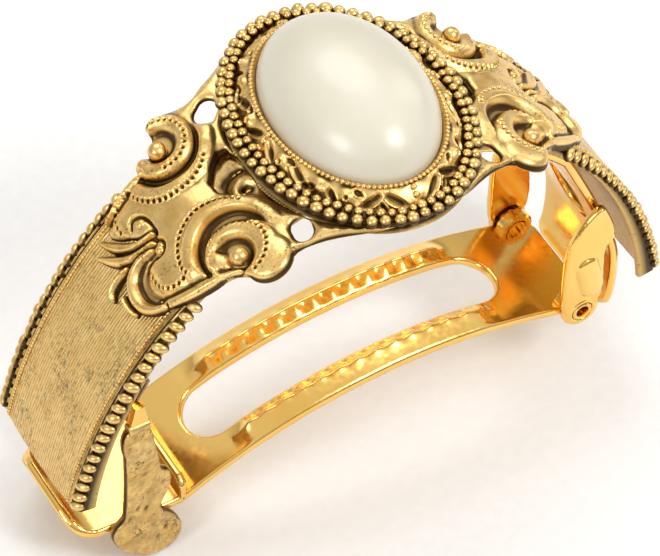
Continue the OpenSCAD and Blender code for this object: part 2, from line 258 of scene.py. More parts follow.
def beads(name, centres, axes, level=3, sink=0.25, rough=0.02):
    """Balls at centres; axes holds, for each, three vectors whose lengths are its radii.

    The third axis points out of the surface, and the patina gathers towards its foot."""
    points, faces = ball_template(level)
    all_points, all_faces, patina_and_shade = [], [], []
    for k, (centre, axis) in enumerate(zip(centres, axes)):
        scale = 1 + rough * RNG.standard_normal(3)
        all_points.append(centre + (points * scale) @ np.asarray(axis))
        all_faces.append(faces + k * len(points))
        patina_and_shade.append(np.clip((sink - points[:, 2]) / 0.5, 0, 1))
    return mesh_object(name, np.concatenate(all_points), np.concatenate(all_faces),
                       np.concatenate(patina_and_shade), smooth=180)


def sweep(name, path, across, up, section, closed, patina_and_shade=None):
    """A closed section, in (across, up) pairs, swept along a path of points."""
    path, across, up = (np.asarray(a, float) for a in (path, across, up))
    section = np.asarray(section, float)
    n, m = len(path), len(section)
    points = path[:, None] + section[None, :, :1] * across[:, None]
    points = points + section[None, :, 1:] * up[:, None]
    quads = grid_quads(n, m, closed)
    points = points.reshape(-1, 3)
    values = np.tile(np.zeros(m) if patina_and_shade is None else np.asarray(patina_and_shade, float), n)
    if not closed:
        ends = []
        for row, flip in ((0, False), (n - 1, True)):
            centre = len(points)
            points = np.vstack([points, points[row * m:(row + 1) * m].mean(0)])
            values = np.append(values, 0.3)
            tri = fan(row * m + np.arange(m), centre)
            ends.append(tri[:, [1, 0, 2, 3]] if flip else tri)
        quads = np.concatenate([quads, *ends])
    return mesh_object(name, points, quads, values, smooth=40)


def rounded(x0, x1, y0, y1, r):
    """A rectangle with round corners, as a closed section."""
    parts = 5
    out = []
    corners = ((x1 - r, y1 - r, 0), (x0 + r, y1 - r, 90), (x0 + r, y0 + r, 180), (x1 - r, y0 + r, 270))
    for cx, cy, a0 in corners:
        for k in range(parts + 1):
            a = math.radians(a0 + 90 * k / parts)
            out.append((cx + r * math.cos(a), cy + r * math.sin(a)))
    return out


def oval_frame(rx, ry, n, z, inset=0.0):
    """Points round an oval set in from (rx, ry), with outward and upward directions."""
    t = np.linspace(0, 2 * math.pi, 2881)
    x, y = rx * np.cos(t), ry * np.sin(t)
    length = np.concatenate([[0], np.cumsum(np.hypot(np.diff(x), np.diff(y)))])
    t = np.interp(np.arange(n) / n * length[-1], length, t)
    normal = np.stack([np.cos(t) / rx, np.sin(t) / ry, np.zeros(n)], -1)
    normal /= np.linalg.norm(normal, axis=1)[:, None]
    path = np.stack([rx * np.cos(t), ry * np.sin(t), np.full(n, z)], -1) - inset * normal
    return path, normal, np.tile([0.0, 0.0, 1.0], (n, 1))


def turned(name, centre, axis, profile, n=56, patina_and_shade=None):
    """A profile of (radius, distance along the axis) turned round an axis through centre."""
    axis = np.asarray(axis, float) / np.linalg.norm(axis)
    e1 = np.cross(axis, ASKEW)
    e1 /= np.linalg.norm(e1)
    e2 = np.cross(axis, e1)
    a = np.arange(n) / n * 2 * math.pi
    radial = np.cos(a)[:, None] * e1 + np.sin(a)[:, None] * e2
    path = np.tile(np.asarray(centre, float), (n, 1))
    return sweep(name, path, radial, np.tile(axis, (n, 1)), profile, True, patina_and_shade)


def cut_corners(points, rounds):
    """Rounds the corners of an open line and keeps its ends."""
    c = np.asarray(points, float)
    for _ in range(rounds):
        a, b = 0.75 * c[:-1] + 0.25 * c[1:], 0.25 * c[:-1] + 0.75 * c[1:]
        c = np.concatenate([c[:1], np.stack([a, b], 1).reshape(-1, c.shape[1]), c[-1:]])
    return c


def bent(corners):
    """A place function for a sheet bent along a side outline in X and Z, and its length."""
    c = cut_corners(corners, 3)
    length = np.concatenate([[0], np.cumsum(np.hypot(*np.diff(c, axis=0).T))])
    u = np.linspace(0, length[-1], 1200)
    x, z = np.interp(u, length, c[:, 0]), np.interp(u, length, c[:, 1])
    kernel = np.ones(9) / 9
    tx = np.convolve(np.pad(np.gradient(x, u), 4, mode="edge"), kernel, "valid")
    tz = np.convolve(np.pad(np.gradient(z, u), 4, mode="edge"), kernel, "valid")
    norm = np.hypot(tx, tz)
    nx, nz = -tz / norm, tx / norm

    def put(at, v, h):
        px = np.interp(at, u, x) + h * np.interp(at, u, nx)
        pz = np.interp(at, u, z) + h * np.interp(at, u, nz)
        return np.stack([px, v + 0 * px, pz], -1)

    return put, length[-1]


# ---- outlines

def circle(u, v, cu, cv, r):
    """Signed distance to a circle, negative inside."""
    return np.hypot(u - cu, v - cv) - r


def from_segment(u, v, a, b):
    """Distance to the segment from a to b, and how far along it the nearest point is, 0 to 1."""
    du, dv = b[0] - a[0], b[1] - a[1]
    t = np.clip(((u - a[0]) * du + (v - a[1]) * dv) / (du * du + dv * dv), 0, 1)
    return np.hypot(u - a[0] - t * du, v - a[1] - t * dv), t


def capsule(u, v, a, b, ra, rb):
    """Signed distance to a tapered bar from a to b."""
    far, t = from_segment(u, v, a, b)
    return far - (ra + (rb - ra) * t)


def polygon(u, v, corners):
    """Signed distance to a polygon, negative inside."""
    shape = np.shape(u)
    p = np.stack([np.ravel(u), np.ravel(v)], -1)
    best = np.full(len(p), 1e9)
    inside = np.zeros(len(p), bool)
    corners = np.asarray(corners, float)
    for a, b in zip(corners, np.roll(corners, -1, 0)):
        e = b - a
        w = p - a
        t = np.clip(w @ e / (e @ e), 0, 1)
        best = np.minimum(best, np.hypot(*(w - t[:, None] * e).T))
        cross = (a[1] > p[:, 1]) != (b[1] > p[:, 1])
        slope = e[0] / e[1] if abs(e[1]) > 1e-12 else 0.0
        inside ^= cross & (p[:, 0] < slope * (p[:, 1] - a[1]) + a[0])
    return np.where(inside, -best, best).reshape(shape)


def soften(corners, rounds=2):
    """Cuts a closed outline's corners to round them."""
    c = np.asarray(corners, float)
    for _ in range(rounds):
        nxt = np.roll(c, -1, 0)
        c = np.stack([0.75 * c + 0.25 * nxt, 0.25 * c + 0.75 * nxt], 1).reshape(-1, 2)
    return c


def step_up(x, a, b):
    """0 below a, 1 above b, smooth between."""
    t = np.clip((x - a) / (b - a), 0, 1)
    return t * t * (3 - 2 * t)


def ridge(d, half, height):
    """A half-round ridge from the distance to its middle line."""
    return height * np.sqrt(np.clip(1 - (d / half) ** 2, 0, 1))


def rolled_edge(inside, radius, drop):
    """How far a face falls near its outline."""
    t = np.clip(1 - inside / radius, 0, 1)
    return drop * (1 - np.sqrt(np.clip(1 - t * t, 0, 1)))


def wobble(u, v, seed, scale):
    """A smooth pseudo-random field from a few sine waves."""
    rng = np.random.default_rng(seed)
    waves = 7
    out = 0
    for _ in range(waves):
        a, f, p = rng.uniform(0, 2 * math.pi), rng.uniform(0.6, 1.8) / scale, rng.uniform(0, 6.28)
        out = out + np.sin((u * math.cos(a) + v * math.sin(a)) * f * 2 * math.pi + p)
    return out / waves


# ---- materials

def material(name, colour, metallic, roughness):
    """A new node material, with its Principled shader."""
    mat = bpy.data.materials.new(name)
    mat.use_nodes = True
    shader = mat.node_tree.nodes["Principled BSDF"]
    shader.inputs["Base Color"].default_value = (*colour, 1)
    shader.inputs["Metallic"].default_value = metallic
    shader.inputs["Roughness"].default_value = roughness
    return mat, shader


class Graph:
    """Short names for adding and linking shader nodes. Noise scales are per metre."""

    def __init__(self, mat):
        self.nodes, self.links = mat.node_tree.nodes, mat.node_tree.links

    def link(self, source, target):
        self.links.new(source, target)

    def coords(self):
        return self.nodes.new("ShaderNodeTexCoord").outputs["Object"]

    def attribute(self, name, output="Fac"):
        node = self.nodes.new("ShaderNodeAttribute")
        node.attribute_name = name
        return node.outputs[output]

    def scaled(self, vector, scale):
        node = self.nodes.new("ShaderNodeVectorMath")
        node.operation = "MULTIPLY"
        self.link(vector, node.inputs[0])
        node.inputs[1].default_value = scale
        return node.outputs[0]

    def noise(self, vector, scale, detail=4, roughness=0.55):
        node = self.nodes.new("ShaderNodeTexNoise")
        node.inputs["Scale"].default_value = scale
        node.inputs["Detail"].default_value = detail
        node.inputs["Roughness"].default_value = roughness
        self.link(vector, node.inputs["Vector"])
        return node.outputs["Fac"]

    def remap(self, value, a, b, c=0.0, d=1.0):
        node = self.nodes.new("ShaderNodeMapRange")
        self.link(value, node.inputs["Value"])
        for key, number in zip(("From Min", "From Max", "To Min", "To Max"), (a, b, c, d)):
            node.inputs[key].default_value = number
        return node.outputs["Result"]

    def math(self, operation, a, b):
        node = self.nodes.new("ShaderNodeMath")
        node.operation = operation
        for socket, value in zip(node.inputs, (a, b)):
            if isinstance(value, (int, float)):
                socket.default_value = value
            else:
                self.link(value, socket)
        return node.outputs[0]

    def plus(self, a, b):
        return self.math("ADD", a, b)

    def times(self, a, b):
        return self.math("MULTIPLY", a, b)

    def most(self, a, b):
        return self.math("MAXIMUM", a, b)

    def mix(self, factor, a, b):
        node = self.nodes.new("ShaderNodeMix")
        node.data_type = "RGBA"
        self.link(factor, node.inputs["Factor"])
        for key, value in (("A", a), ("B", b)):
            socket = [s for s in node.inputs if s.name == key and s.type == "RGBA"][0]
            if isinstance(value, tuple):
                socket.default_value = (*value, 1)
            else:
                self.link(value, socket)
        return [s for s in node.outputs if s.type == "RGBA"][0]

    def bump(self, height, strength, distance, normal=None):
        node = self.nodes.new("ShaderNodeBump")
        node.inputs["Strength"].default_value = strength
        node.inputs["Distance"].default_value = distance
        self.link(height, node.inputs["Height"])
        if normal is not None:
            self.link(normal, node.inputs["Normal"])
        return node.outputs["Normal"]


GOLD_LIGHT = (0.97, 0.69, 0.28)
GOLD_MID = (0.86, 0.55, 0.175)
# The dark patina colour, which also paints the shade that the mesh's darkness attribute carries.
PATINA_AND_SHADE = (0.075, 0.040, 0.011)
# The pitch of the brushed panels' fine lines.
LINES_PER_MM = 3.6


def brushed_lines(g, patch, dirt_and_shade, height):
    """The panels' worn fine lines: the darkening and the bump height with them added."""
    flat = g.attribute("flat", "Vector")
    sway = g.noise(g.scaled(flat, (0.06, 0.25, 0)), 1.0, 2, 0.5)
    hair = g.noise(g.scaled(flat, (0.45, 9.0, 0)), 1.0, 3, 0.65)
    fine = g.noise(g.scaled(flat, (1.6, 3.4, 0)), 1.0, 5, 0.7)
    across = g.nodes.new("ShaderNodeSeparateXYZ")
    g.link(flat, across.inputs[0])
    phase = g.plus(g.times(across.outputs["Y"], LINES_PER_MM), g.times(sway, 2.2))
    comb = g.remap(g.math("SINE", g.times(phase, 2 * math.pi), 0.0), -1, 1)
    scratch = g.times(comb, g.remap(hair, 0.34, 0.60, 0.45, 1.0))
    worn = g.times(g.remap(scratch, 0.05, 0.60, 1.0, 0.0), g.remap(fine, 0.36, 0.62, 0.30, 1.0))
    blot = g.remap(g.plus(fine, g.times(patch, 0.4)), 0.74, 0.90, 0.0, 0.85)
    dirt_and_shade = g.most(dirt_and_shade, g.most(g.times(worn, 0.66), blot))
    return dirt_and_shade, g.plus(g.times(scratch, 1.0), g.times(height, 0.25))


def antique_gold(name, brushed=False, mottled=0.5, rough=0.26, stained=0.0):
    """Antiqued gold: worn bright on the high places, brown-black in the hollows, and dark as painted
    shade where the mesh asks for it.
    """
    mat, shader = material(name, GOLD_LIGHT, 1.0, rough)
    g = Graph(mat)
    where = g.coords()
    cloud = g.noise(where, 700, 5, 0.6)
    patch = g.noise(where, 420, 3, 0.6)
    speck = g.remap(g.plus(g.noise(where, 4600, 3, 0.7), g.times(patch, 0.55)), 0.84, 0.98)
    stain = g.remap(g.noise(where, 900, 4, 0.65), 0.38, 0.62, 0.15, 1.0)
    # The mesh's darkness: patina in the hollows, and painted shade on the band's window walls and in the
    # bezel's gap.
    hollow = g.remap(g.attribute("patina_and_shade"), 0.05, 0.75)
    dirt_and_shade = g.most(g.most(hollow, g.times(speck, mottled)), g.times(stain, stained))
    height = g.noise(where, 2600, 4, 0.6)
    if brushed:
        dirt_and_shade, height = brushed_lines(g, patch, dirt_and_shade, height)
    clean = g.mix(g.remap(cloud, 0.35, 0.68), GOLD_MID, GOLD_LIGHT)
    g.link(g.mix(dirt_and_shade, clean, PATINA_AND_SHADE), shader.inputs["Base Color"])
    g.link(g.remap(dirt_and_shade, 0, 1, 1.0, 0.85), shader.inputs["Metallic"])
    dull = g.plus(g.remap(dirt_and_shade, 0, 1, rough, 0.36), g.remap(cloud, 0.3, 0.7, -0.04, 0.08))
    g.link(dull, shader.inputs["Roughness"])
    g.link(g.bump(height, 0.80 if brushed else 0.35, 0.00006), shader.inputs["Normal"])
    return mat


PLATING_DEEP = (0.97, 0.58, 0.14)
PLATING_PALE = (1.0, 0.67, 0.21)


def plated_gold(name, rough=0.16):
    """Bright gold plating over tumbled sheet: smooth, with a slight waviness."""
    mat, shader = material(name, PLATING_PALE, 1.0, rough)
    g = Graph(mat)
    where = g.coords()
    wave = g.noise(where, 160, 2, 0.4)
    fine = g.noise(where, 2400, 3, 0.5)
    g.link(g.mix(g.remap(wave, 0.3, 0.7), PLATING_DEEP, PLATING_PALE), shader.inputs["Base Color"])
    g.link(g.remap(fine, 0.35, 0.7, rough - 0.03, rough + 0.07), shader.inputs["Roughness"])
    soft = g.bump(wave, 0.35, 0.0004)
    g.link(g.bump(fine, 0.06, 0.00004, soft), shader.inputs["Normal"])
    return mat


IVORY_DEEP = (0.65, 0.605, 0.465)
IVORY_PALE = (0.71, 0.67, 0.55)
# The darker colour painted towards the dome's outline as seen from the view: painted shade, with a
# pearly tint.
IVORY_RIM_SHADE = (0.57, 0.52, 0.38)


def pearl_lacquer(name):
    """Ivory bead lacquer: pearly body under a clear gloss coat, painted darker towards its outline."""
    mat, shader = material(name, IVORY_PALE, 0.0, 0.34)
    g = Graph(mat)
    where = g.coords()
    cloud = g.noise(where, 130, 3, 0.5)
    layer = g.nodes.new("ShaderNodeLayerWeight")
    layer.inputs["Blend"].default_value = 0.35
    body = g.mix(g.remap(cloud, 0.3, 0.7), IVORY_DEEP, IVORY_PALE)
    # Towards the outline as seen from the view the colour goes to the rim colour: painted shade, with a
    # pearly tint.
    colour = g.mix(g.remap(layer.outputs["Facing"], 0.15, 0.95), body, IVORY_RIM_SHADE)
    g.link(colour, shader.inputs["Base Color"])
    g.link(g.remap(g.noise(where, 3000, 2, 0.5), 0.3, 0.7, 0.42, 0.50), shader.inputs["Roughness"])
    g.link(g.bump(g.noise(where, 500, 2, 0.5), 0.05, 0.00005), shader.inputs["Normal"])
    constants = (
        ("Specular IOR Level", 0.6), ("Coat Weight", 0.9), ("Coat Roughness", 0.24), ("Coat IOR", 1.5),
        ("Subsurface Weight", 0.15), ("Subsurface Radius", (0.002, 0.0016, 0.001)),
        ("Sheen Weight", 0.15), ("Sheen Roughness", 0.4), ("Sheen Tint", (1.0, 0.97, 0.9, 1))
    )
    for socket, value in constants:
        shader.inputs[socket].default_value = value
    return mat


ANTIQUE = antique_gold("antique_gold", mottled=0.75, rough=0.33)
BRUSHED = antique_gold("antique_gold_brushed", brushed=True, mottled=0.8, rough=0.34)
CAST = antique_gold("antique_gold_cast", mottled=1.0, rough=0.34, stained=0.42)
BEAD = antique_gold("antique_gold_bead", mottled=0.5, rough=0.29, stained=0.18)
PLATED = plated_gold("gold_plate")
PEARL = pearl_lacquer("pearl_lacquer")


def place(piece, mat, *nodes, body="ornament", slot=None):
    """Gives a piece its material and its body, and hides the CAD nodes that it stands for; the slot
    argument is not used.
    """
    piece.data.materials.clear()
    piece.data.materials.append(mat)
    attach(piece, body)
    if nodes:
        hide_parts(*nodes)


# ---- the band and its beaded edges

WINDOW = soften([(12.5, 0.6), (10.5, 2.8), (9.1, 2.8), (9.1, -2.2), (10.0, -2.3)], 1)
WING_START = 19.3
BEAD_PITCH = 1.08
BEAD_RADII = (0.46, 0.64, 0.48)
BEAD_TILT = math.radians(38)
BEAD_SLANT = 0.26
# Across a panel: the groove and the lip along each edge, and the row of fine beads.
GROOVE_Y = 5.55
LIP_Y = 5.28
MILGRAIN_Y = 5.02
MILGRAIN_PITCH = 0.36
MILGRAIN_RADII = (0.16, 0.15, 0.13)
# How far the edges stop short of the band's end, and how far the end's middle bows out.
END_GAP = 0.35
END_BOW = 0.55


def make_band():
    """The band: a sheet with two windows, lined panels and rows of fine beads."""
    def sdf(s, y):
        bow = END_BOW * (1 - (y / BAND_HALF) ** 2)
        d = np.maximum(np.abs(y) - BAND_HALF, np.abs(s) - END_S + END_GAP - bow)
        return np.maximum(d, -polygon(np.abs(s), y, WINDOW))

    def top(s, y, inside):
        panel = np.abs(s) > WING_START - 3
        groove = ridge(np.abs(y) - GROOVE_Y, 0.16, 0.22) * panel
        lip = ridge(np.abs(y) - LIP_Y, 0.12, 0.07) * panel
        return 0.0 - groove + lip - rolled_edge(inside, 0.25, 0.2)

    def bottom(s, y, inside):
        return -BAND_T + rolled_edge(inside, 0.25, 0.2) + 0 * s

    # under=0.30 darkens the band's underside and window walls: patina, and painted shade inside the
    # windows.
    band = sheet("band_sheet", (-END_S - 0.4, END_S + 0.4), (-BAND_HALF - 0.1, BAND_HALF + 0.1), 0.14,
                 sdf, top, bottom, arch, cavity=0.10, reach=0.8, under=0.30)
    place(band, BRUSHED, "band")
    rows = np.arange(WING_START, END_S - END_GAP, MILGRAIN_PITCH)
    centres, axes = [], []
    for side in (-1, 1):
        for edge in (-1, 1):
            for s in rows:
                centre, frame_axes = on_arch(side * s, edge * MILGRAIN_Y, 0.02)
                centres.append(centre)
                axes.append(frame_axes * np.array(MILGRAIN_RADII)[:, None])
    place(beads("panel_milgrain", centres, axes, level=2, sink=0.1), BEAD)


def make_edge(side, edge, node):
    """One beaded edge: a rail along the band's side with slanting oval beads on its shoulder."""
    s = np.linspace(WING_START - 0.2, END_S - END_GAP, 90)
    frames = [on_arch(side * k, edge * BAND_HALF, 0) for k in s]
    path = [p for p, _ in frames]
    deep = np.linspace(0.50, 1.20, len(s)) * np.clip((s - s[0]) / 1.5 + 0.55, 0, 1)
    out = np.array([a[2] for _, a in frames]) * deep[:, None]
    across = np.tile([0.0, edge, 0.0], (len(s), 1))
    section = rounded(-0.15, 0.50, -1.62, -0.30, 0.22)
    patina_and_shade = [1.0 if y > -0.75 else 0.30 for _, y in section]
    rail = sweep(node + "_rail", path, across, out, section, False, patina_and_shade)
    place(rail, CAST)
    centres, axes = [], []
    for k in np.arange(WING_START - 0.5, END_S - 0.55, BEAD_PITCH):
        jitter = RNG.standard_normal(3)
        rise = (k - WING_START) / (END_S - WING_START)
        out_by, height = BAND_HALF + 0.36 - 0.10 * rise, -0.36 + 0.18 * rise
        centre, a = on_arch(side * (k + 0.04 * jitter[0]), edge * out_by, height)
        tilt = BEAD_TILT + 0.05 * jitter[1]
        flat = a[1] * edge * math.cos(tilt) - a[2] * math.sin(tilt)
        flat = flat - BEAD_SLANT * a[0] * side
        up = a[2] * math.cos(tilt) + a[1] * edge * math.sin(tilt)
        centres.append(centre)
        radii = np.array(BEAD_RADII)[:, None] * (1 + 0.04 * jitter[2])
        axes.append(np.array([a[0], flat, up]) * radii)
    piece = beads(node + "_beads", centres, axes, level=3, sink=0.62, rough=0.05)
    place(piece, BEAD, node)


# ---- the scroll wings

# Each scroll's circles, as (along, across, radius): outer edge, C-shaped band, eye. The wing
# is drawn in arc length from the top and distance across, with its near side at -across.
NEAR_OUTER = (13.3, -5.0, 3.2)
NEAR_BAND = (13.5, -5.6, 2.5)
NEAR_BAND_2 = (12.6, -6.3, 2.55)
NEAR_EYE = (13.8, -6.0, 1.65)
NEAR_LOBE = (11.8, -7.9, 2.0)
FAR_OUTER = (13.4, 5.9, 3.15)
FAR_BAND = (13.3, 6.45, 2.75)
FAR_BAND_2 = (15.2, 5.8, 0.9)
FAR_EYE = (13.4, 6.6, 1.4)
WING = soften([
    (1.5, -11.6), (3.0, -11.4), (4.6, -10.85), (6.1, -10.1), (7.85, -9.35), (9.5, -8.9), (10.35, -9.1),
    (11.5, -9.9), (12.7, -9.6), (13.4, -8.6), (14.3, -7.5), (15.3, -7.05), (16.6, -6.9), (18.3, -6.3),
    (20.3, -5.2), (21.3, -4.5), (21.5, -3.2), (21.3, -1.4), (20.2, -0.2), (18.4, 0.6), (19.4, 2.0),
    (20.6, 3.0), (21.1, 4.0), (20.3, 5.1), (18.9, 5.6), (17.5, 6.05), (16.3, 6.0), (15.8, 6.5),
    (15.2, 6.7), (14.4, 6.6), (13.9, 7.2), (13.5, 8.0), (13.5, 8.6), (12.9, 9.1), (12.0, 9.2),
    (11.2, 8.8), (10.3, 8.5), (9.3, 8.55), (8.15, 9.15), (6.7, 9.65), (5.6, 10.2), (4.6, 10.75),
    (3.0, 11.35), (1.5, 11.6)
], 1)
# Strokes as lists of (along, across, half width): the leafy fronds at the wing's tip, the hollow
# beside them, the cords along the wing's two sides and the grooves round the small balls.
FRONDS = [
    [(17.8, 0.85, 0.25), (18.9, 0.95, 0.42), (19.9, 1.35, 0.52), (20.95, 2.45, 0.52),
     (21.85, 4.15, 0.16)],
    [(18.2, 0.25, 0.25), (19.3, 0.30, 0.42), (20.6, 0.75, 0.50), (21.7, 1.75, 0.52),
     (22.75, 3.35, 0.16)],
    [(21.2, 0.35, 0.30), (22.4, 0.60, 0.55), (23.4, 0.35, 0.48), (23.8, -0.35, 0.16)],
    [(18.7, -0.25, 0.28), (20.2, 0.00, 0.45), (21.5, -0.55, 0.58), (22.1, -1.75, 0.62),
     (22.1, -3.05, 0.58), (21.4, -4.15, 0.45), (20.5, -4.8, 0.3)],
    [(22.9, -1.05, 0.18), (23.1, -2.0, 0.32), (22.9, -3.0, 0.2)]
]
CHANNEL = [(18.6, -0.95, 0.16), (20.0, -0.95, 0.30), (20.85, -1.70, 0.34), (21.0, -2.75, 0.34),
           (20.5, -3.8, 0.2)]
CORDS = [
    [(20.9, -4.35, 0.35), (19.6, -5.15, 0.46), (18.0, -5.80, 0.46), (16.4, -6.25, 0.42),
     (15.0, -6.85, 0.34), (14.0, -7.4, 0.18)],
    [(20.4, 4.9, 0.16), (18.6, 5.35, 0.30), (17.2, 5.65, 0.32), (15.9, 5.75, 0.2)]
]
GROOVES = [
    [(19.1, 2.5, 0.10), (18.65, 3.10, 0.17), (17.95, 2.95, 0.19), (17.5, 2.2, 0.18),
     (17.45, 1.2, 0.14), (17.55, 0.5, 0.08)],
    [(18.7, -1.15, 0.08), (17.95, -1.25, 0.17), (17.45, -0.7, 0.19), (17.6, 0.05, 0.13),
     (18.2, 0.35, 0.08)]
]
# The see-through holes beside the ring, as capsules: two ends and their radii.
NEAR_HOLE = ((8.40, -7.25), (8.50, -7.75), 0.84, 0.80)
FAR_HOLE = ((8.70, 6.95), (9.15, 6.60), 0.84, 0.90)
# The balls in the scrolls, as (along, across, radius).
BALLS = [(13.45, -6.3, 0.78), (13.75, 6.3, 0.78), (18.15, 2.3, 0.44), (18.1, -0.75, 0.42)]


def stroke(u, v, points):
    """A tapering stroke through (u, v, half width) points.

    Gives the signed distance, and the share of the half width to the middle line, 0 to 1."""
    c = cut_corners(points, 2)
    best = np.full(np.shape(u), 1e3)
    share = np.full(np.shape(u), 1e3)
    for a, b in zip(c, c[1:]):
        far, t = from_segment(u, v, a, b)
        half = a[2] + (b[2] - a[2]) * t
        closer = far - half < best
        best = np.where(closer, far - half, best)
        share = np.where(closer, far / half, share)
    return best, np.clip(share, 0, 1)


def arc_row(cu, cv, r, a0, a1, pitch=0.52):
    """Places of punched dots along an arc, angles in degrees."""
    n = max(2, int(round(abs(math.radians(a1 - a0)) * r / pitch)))
    angles = [math.radians(a0 + (a1 - a0) * k / n) for k in range(n + 1)]
    return [(cu + r * math.cos(a), cv + r * math.sin(a)) for a in angles]


DOTS = (
    arc_row(13.9, -4.0, 3.55, 148, 5) + arc_row(18.05, -2.45, 1.9, -112, 15)
    + arc_row(13.3, -5.8, 2.45, 53, 262) + arc_row(13.8, 5.5, 3.58, -8, -140)
    + arc_row(18.1, 3.5, 1.85, 108, -5) + arc_row(13.3, 6.5, 2.15, 93, 287)
)


def wing_sdf(u, v):
    """A wing's outline: its sheet and fronds, less two holes, the window and the setting."""
    d = np.minimum(polygon(u, v, WING), circle(u, v, *NEAR_LOBE))
    for points in FRONDS:
        d = np.minimum(d, stroke(u, v, points)[0] - 0.04)
    d = np.maximum(d, -capsule(u, v, *NEAR_HOLE))
    d = np.maximum(d, -capsule(u, v, *FAR_HOLE))
    d = np.maximum(d, -polygon(u, v, WINDOW))
    x = CROWN_R * np.sin(u / CROWN_R)
    oval = (np.hypot(x / (PLATE_X - 0.4), v / (PLATE_Y - 0.4)) - 1) * PLATE_X
    return np.maximum(d, -oval)


def scroll_band(h, inside, outer, band, eye):
    """Adds a scroll: a dark crescent in the outer circle, and a rounded band round the eye."""
    h = h + (0.05 - h) * step_up(-outer, -0.05, 0.55) * (1 - step_up(-band, -0.08, 0.08))
    share = np.clip(-band, 0, None) / (np.clip(-band, 0, None) + np.clip(eye, 0, None) + 1e-6)
    rounded_top = 0.34 + 0.62 * np.sqrt(np.clip(4 * share * (1 - share), 0, 1))
    rounded_top = rounded_top - rolled_edge(inside, 0.5, 0.35)
    h = h + (rounded_top - h) * step_up(-band, -0.08, 0.08)
    return h + (0.08 - h) * step_up(-eye, -0.02, 0.4)


def wing_top(u, v, inside):
    """The relief of a scroll wing, as a height above the band."""
    h = 0.38 + 0.38 * step_up(inside, 0.0, 2.6)
    h = h + 0.08 * wobble(u, v, 3, 4.5) + 0.025 * wobble(u, v, 5, 1.4)
    h = h - rolled_edge(inside, 0.55, 0.40)
    h = h * (1 - 0.6 * step_up(u, 19.4, 20.4))
    for (cu, cv, ra), sign in ((NEAR_OUTER, 1), (FAR_OUTER, -1)):
        rim = ridge(circle(u, v, cu, cv, ra) - 0.42, 0.66, 0.36)
        h = h + rim * step_up(sign * (v - cv), -1.2, 0.6)
    near_band = np.minimum(circle(u, v, *NEAR_BAND), circle(u, v, *NEAR_BAND_2))
    near_band = np.minimum(near_band, circle(u, v, *NEAR_LOBE))
    h = scroll_band(h, inside, circle(u, v, *NEAR_OUTER), near_band, circle(u, v, *NEAR_EYE))
    h = h + ridge(np.hypot(u - 15.0, (v + 5.5) * 0.8), 0.80, 0.62)
    far_band = np.minimum(circle(u, v, *FAR_BAND), circle(u, v, *FAR_BAND_2))
    h = scroll_band(h, inside, circle(u, v, *FAR_OUTER), far_band, circle(u, v, *FAR_EYE))
    channel, _ = stroke(u, v, CHANNEL)
    h = h + (0.02 - h) * step_up(-channel, -0.06, 0.22)
    for points in CORDS:
        d, share = stroke(u, v, points)
        h = np.where(d < 0, np.maximum(h, 0.35 + 0.42 * np.sqrt(1 - share ** 2)), h)
        h = h - ridge(d - 0.14, 0.16, 0.18)
    for points in FRONDS:
        d, share = stroke(u, v, points)
        h = np.where(d < 0, np.maximum(h, 0.06 + 0.78 * (1 - share ** 2) ** 0.6), h)
        h = np.where((d > 0) & (d < 0.14), np.minimum(h, 0.10), h)
    for points in GROOVES:
        d, share = stroke(u, v, points)
        h = np.where(d < 0, h - 0.42 * (1 - share ** 2), h)
    h = blur(h, np.ones_like(h), 1)
    for cu, cv in DOTS:
        near = (np.abs(u - cu) < 0.4) & (np.abs(v - cv) < 0.4)
        if near.any():
            d = np.hypot(u[near] - cu, v[near] - cv)
            rim, pit = 0.05 * np.exp(-((d - 0.27) / 0.07) ** 2), 0.24 * np.exp(-(d / 0.16) ** 4)
            h[near] = h[near] + rim - pit
    return np.maximum(h, -0.02)


def make_window_shade_relief(side, word):
    """The curled casting seen at the bottom of each window, a dark sheet set there that also paints the
    shade inside the window.
    """
    def sdf(u, v):
        return np.hypot((u - 10.9) / 1.05, (v - 0.3) / 1.5) * 2.1 - 4.2

    def top(u, v, inside):
        angle = np.arctan2(v + 0.9, u - 10.2)
        curl = np.sin(np.hypot(u - 10.2, v + 0.9) * 2.9 - angle)
        return -1.02 + 0.22 * curl + 0.06 * wobble(u, v, 71, 1.2) - rolled_edge(inside, 0.3, 0.15)

    piece = sheet("window_shade_relief_" + word, (8.4, 13.4), (-3.2, 3.8), 0.1, sdf, top,
                  lambda u, v, inside: -1.30 + 0 * u, lambda u, v, h: arch(side * u, v, h),
                  cavity=0.10, reach=0.8)
    place(piece, ANTIQUE)


def make_wing(side, node, balls_node):
    """One wing on the side -1 (left) or 1 (right), with its balls."""
    step = 0.075
    wing = sheet(node + "_relief", (1.5, 24.7), (-11.6, 11.6), step, wing_sdf, wing_top,
                 lambda u, v, inside: -0.03 + 0 * u, lambda u, v, h: arch(side * u, v, h),
                 cavity=0.13, reach=0.6, under=0.2)
    place(wing, ANTIQUE, node)
    centres, axes = [], []
    for u, v, r in BALLS:
        centre, a = on_arch(side * u, v, 0.22 + 0.35 * r)
        centres.append(centre)
        axes.append(a * r)
    place(beads(node + "_balls", centres, axes, level=4, sink=-0.1, rough=0.03), BEAD, balls_node)


# ---- the setting

BEZEL_X = PEARL_HIGH.x
BEZEL_Y = PEARL_HIGH.y
# The bead rows: how far in from the plate's edge, bead radius, number, and height.
OUTER_BEADS = (0.37, 0.51, 60, PLATE_Z + 0.31)
INNER_BEADS = (0.98, 0.37, 72, PLATE_Z + 0.64)
BORDER_INSET = 1.34
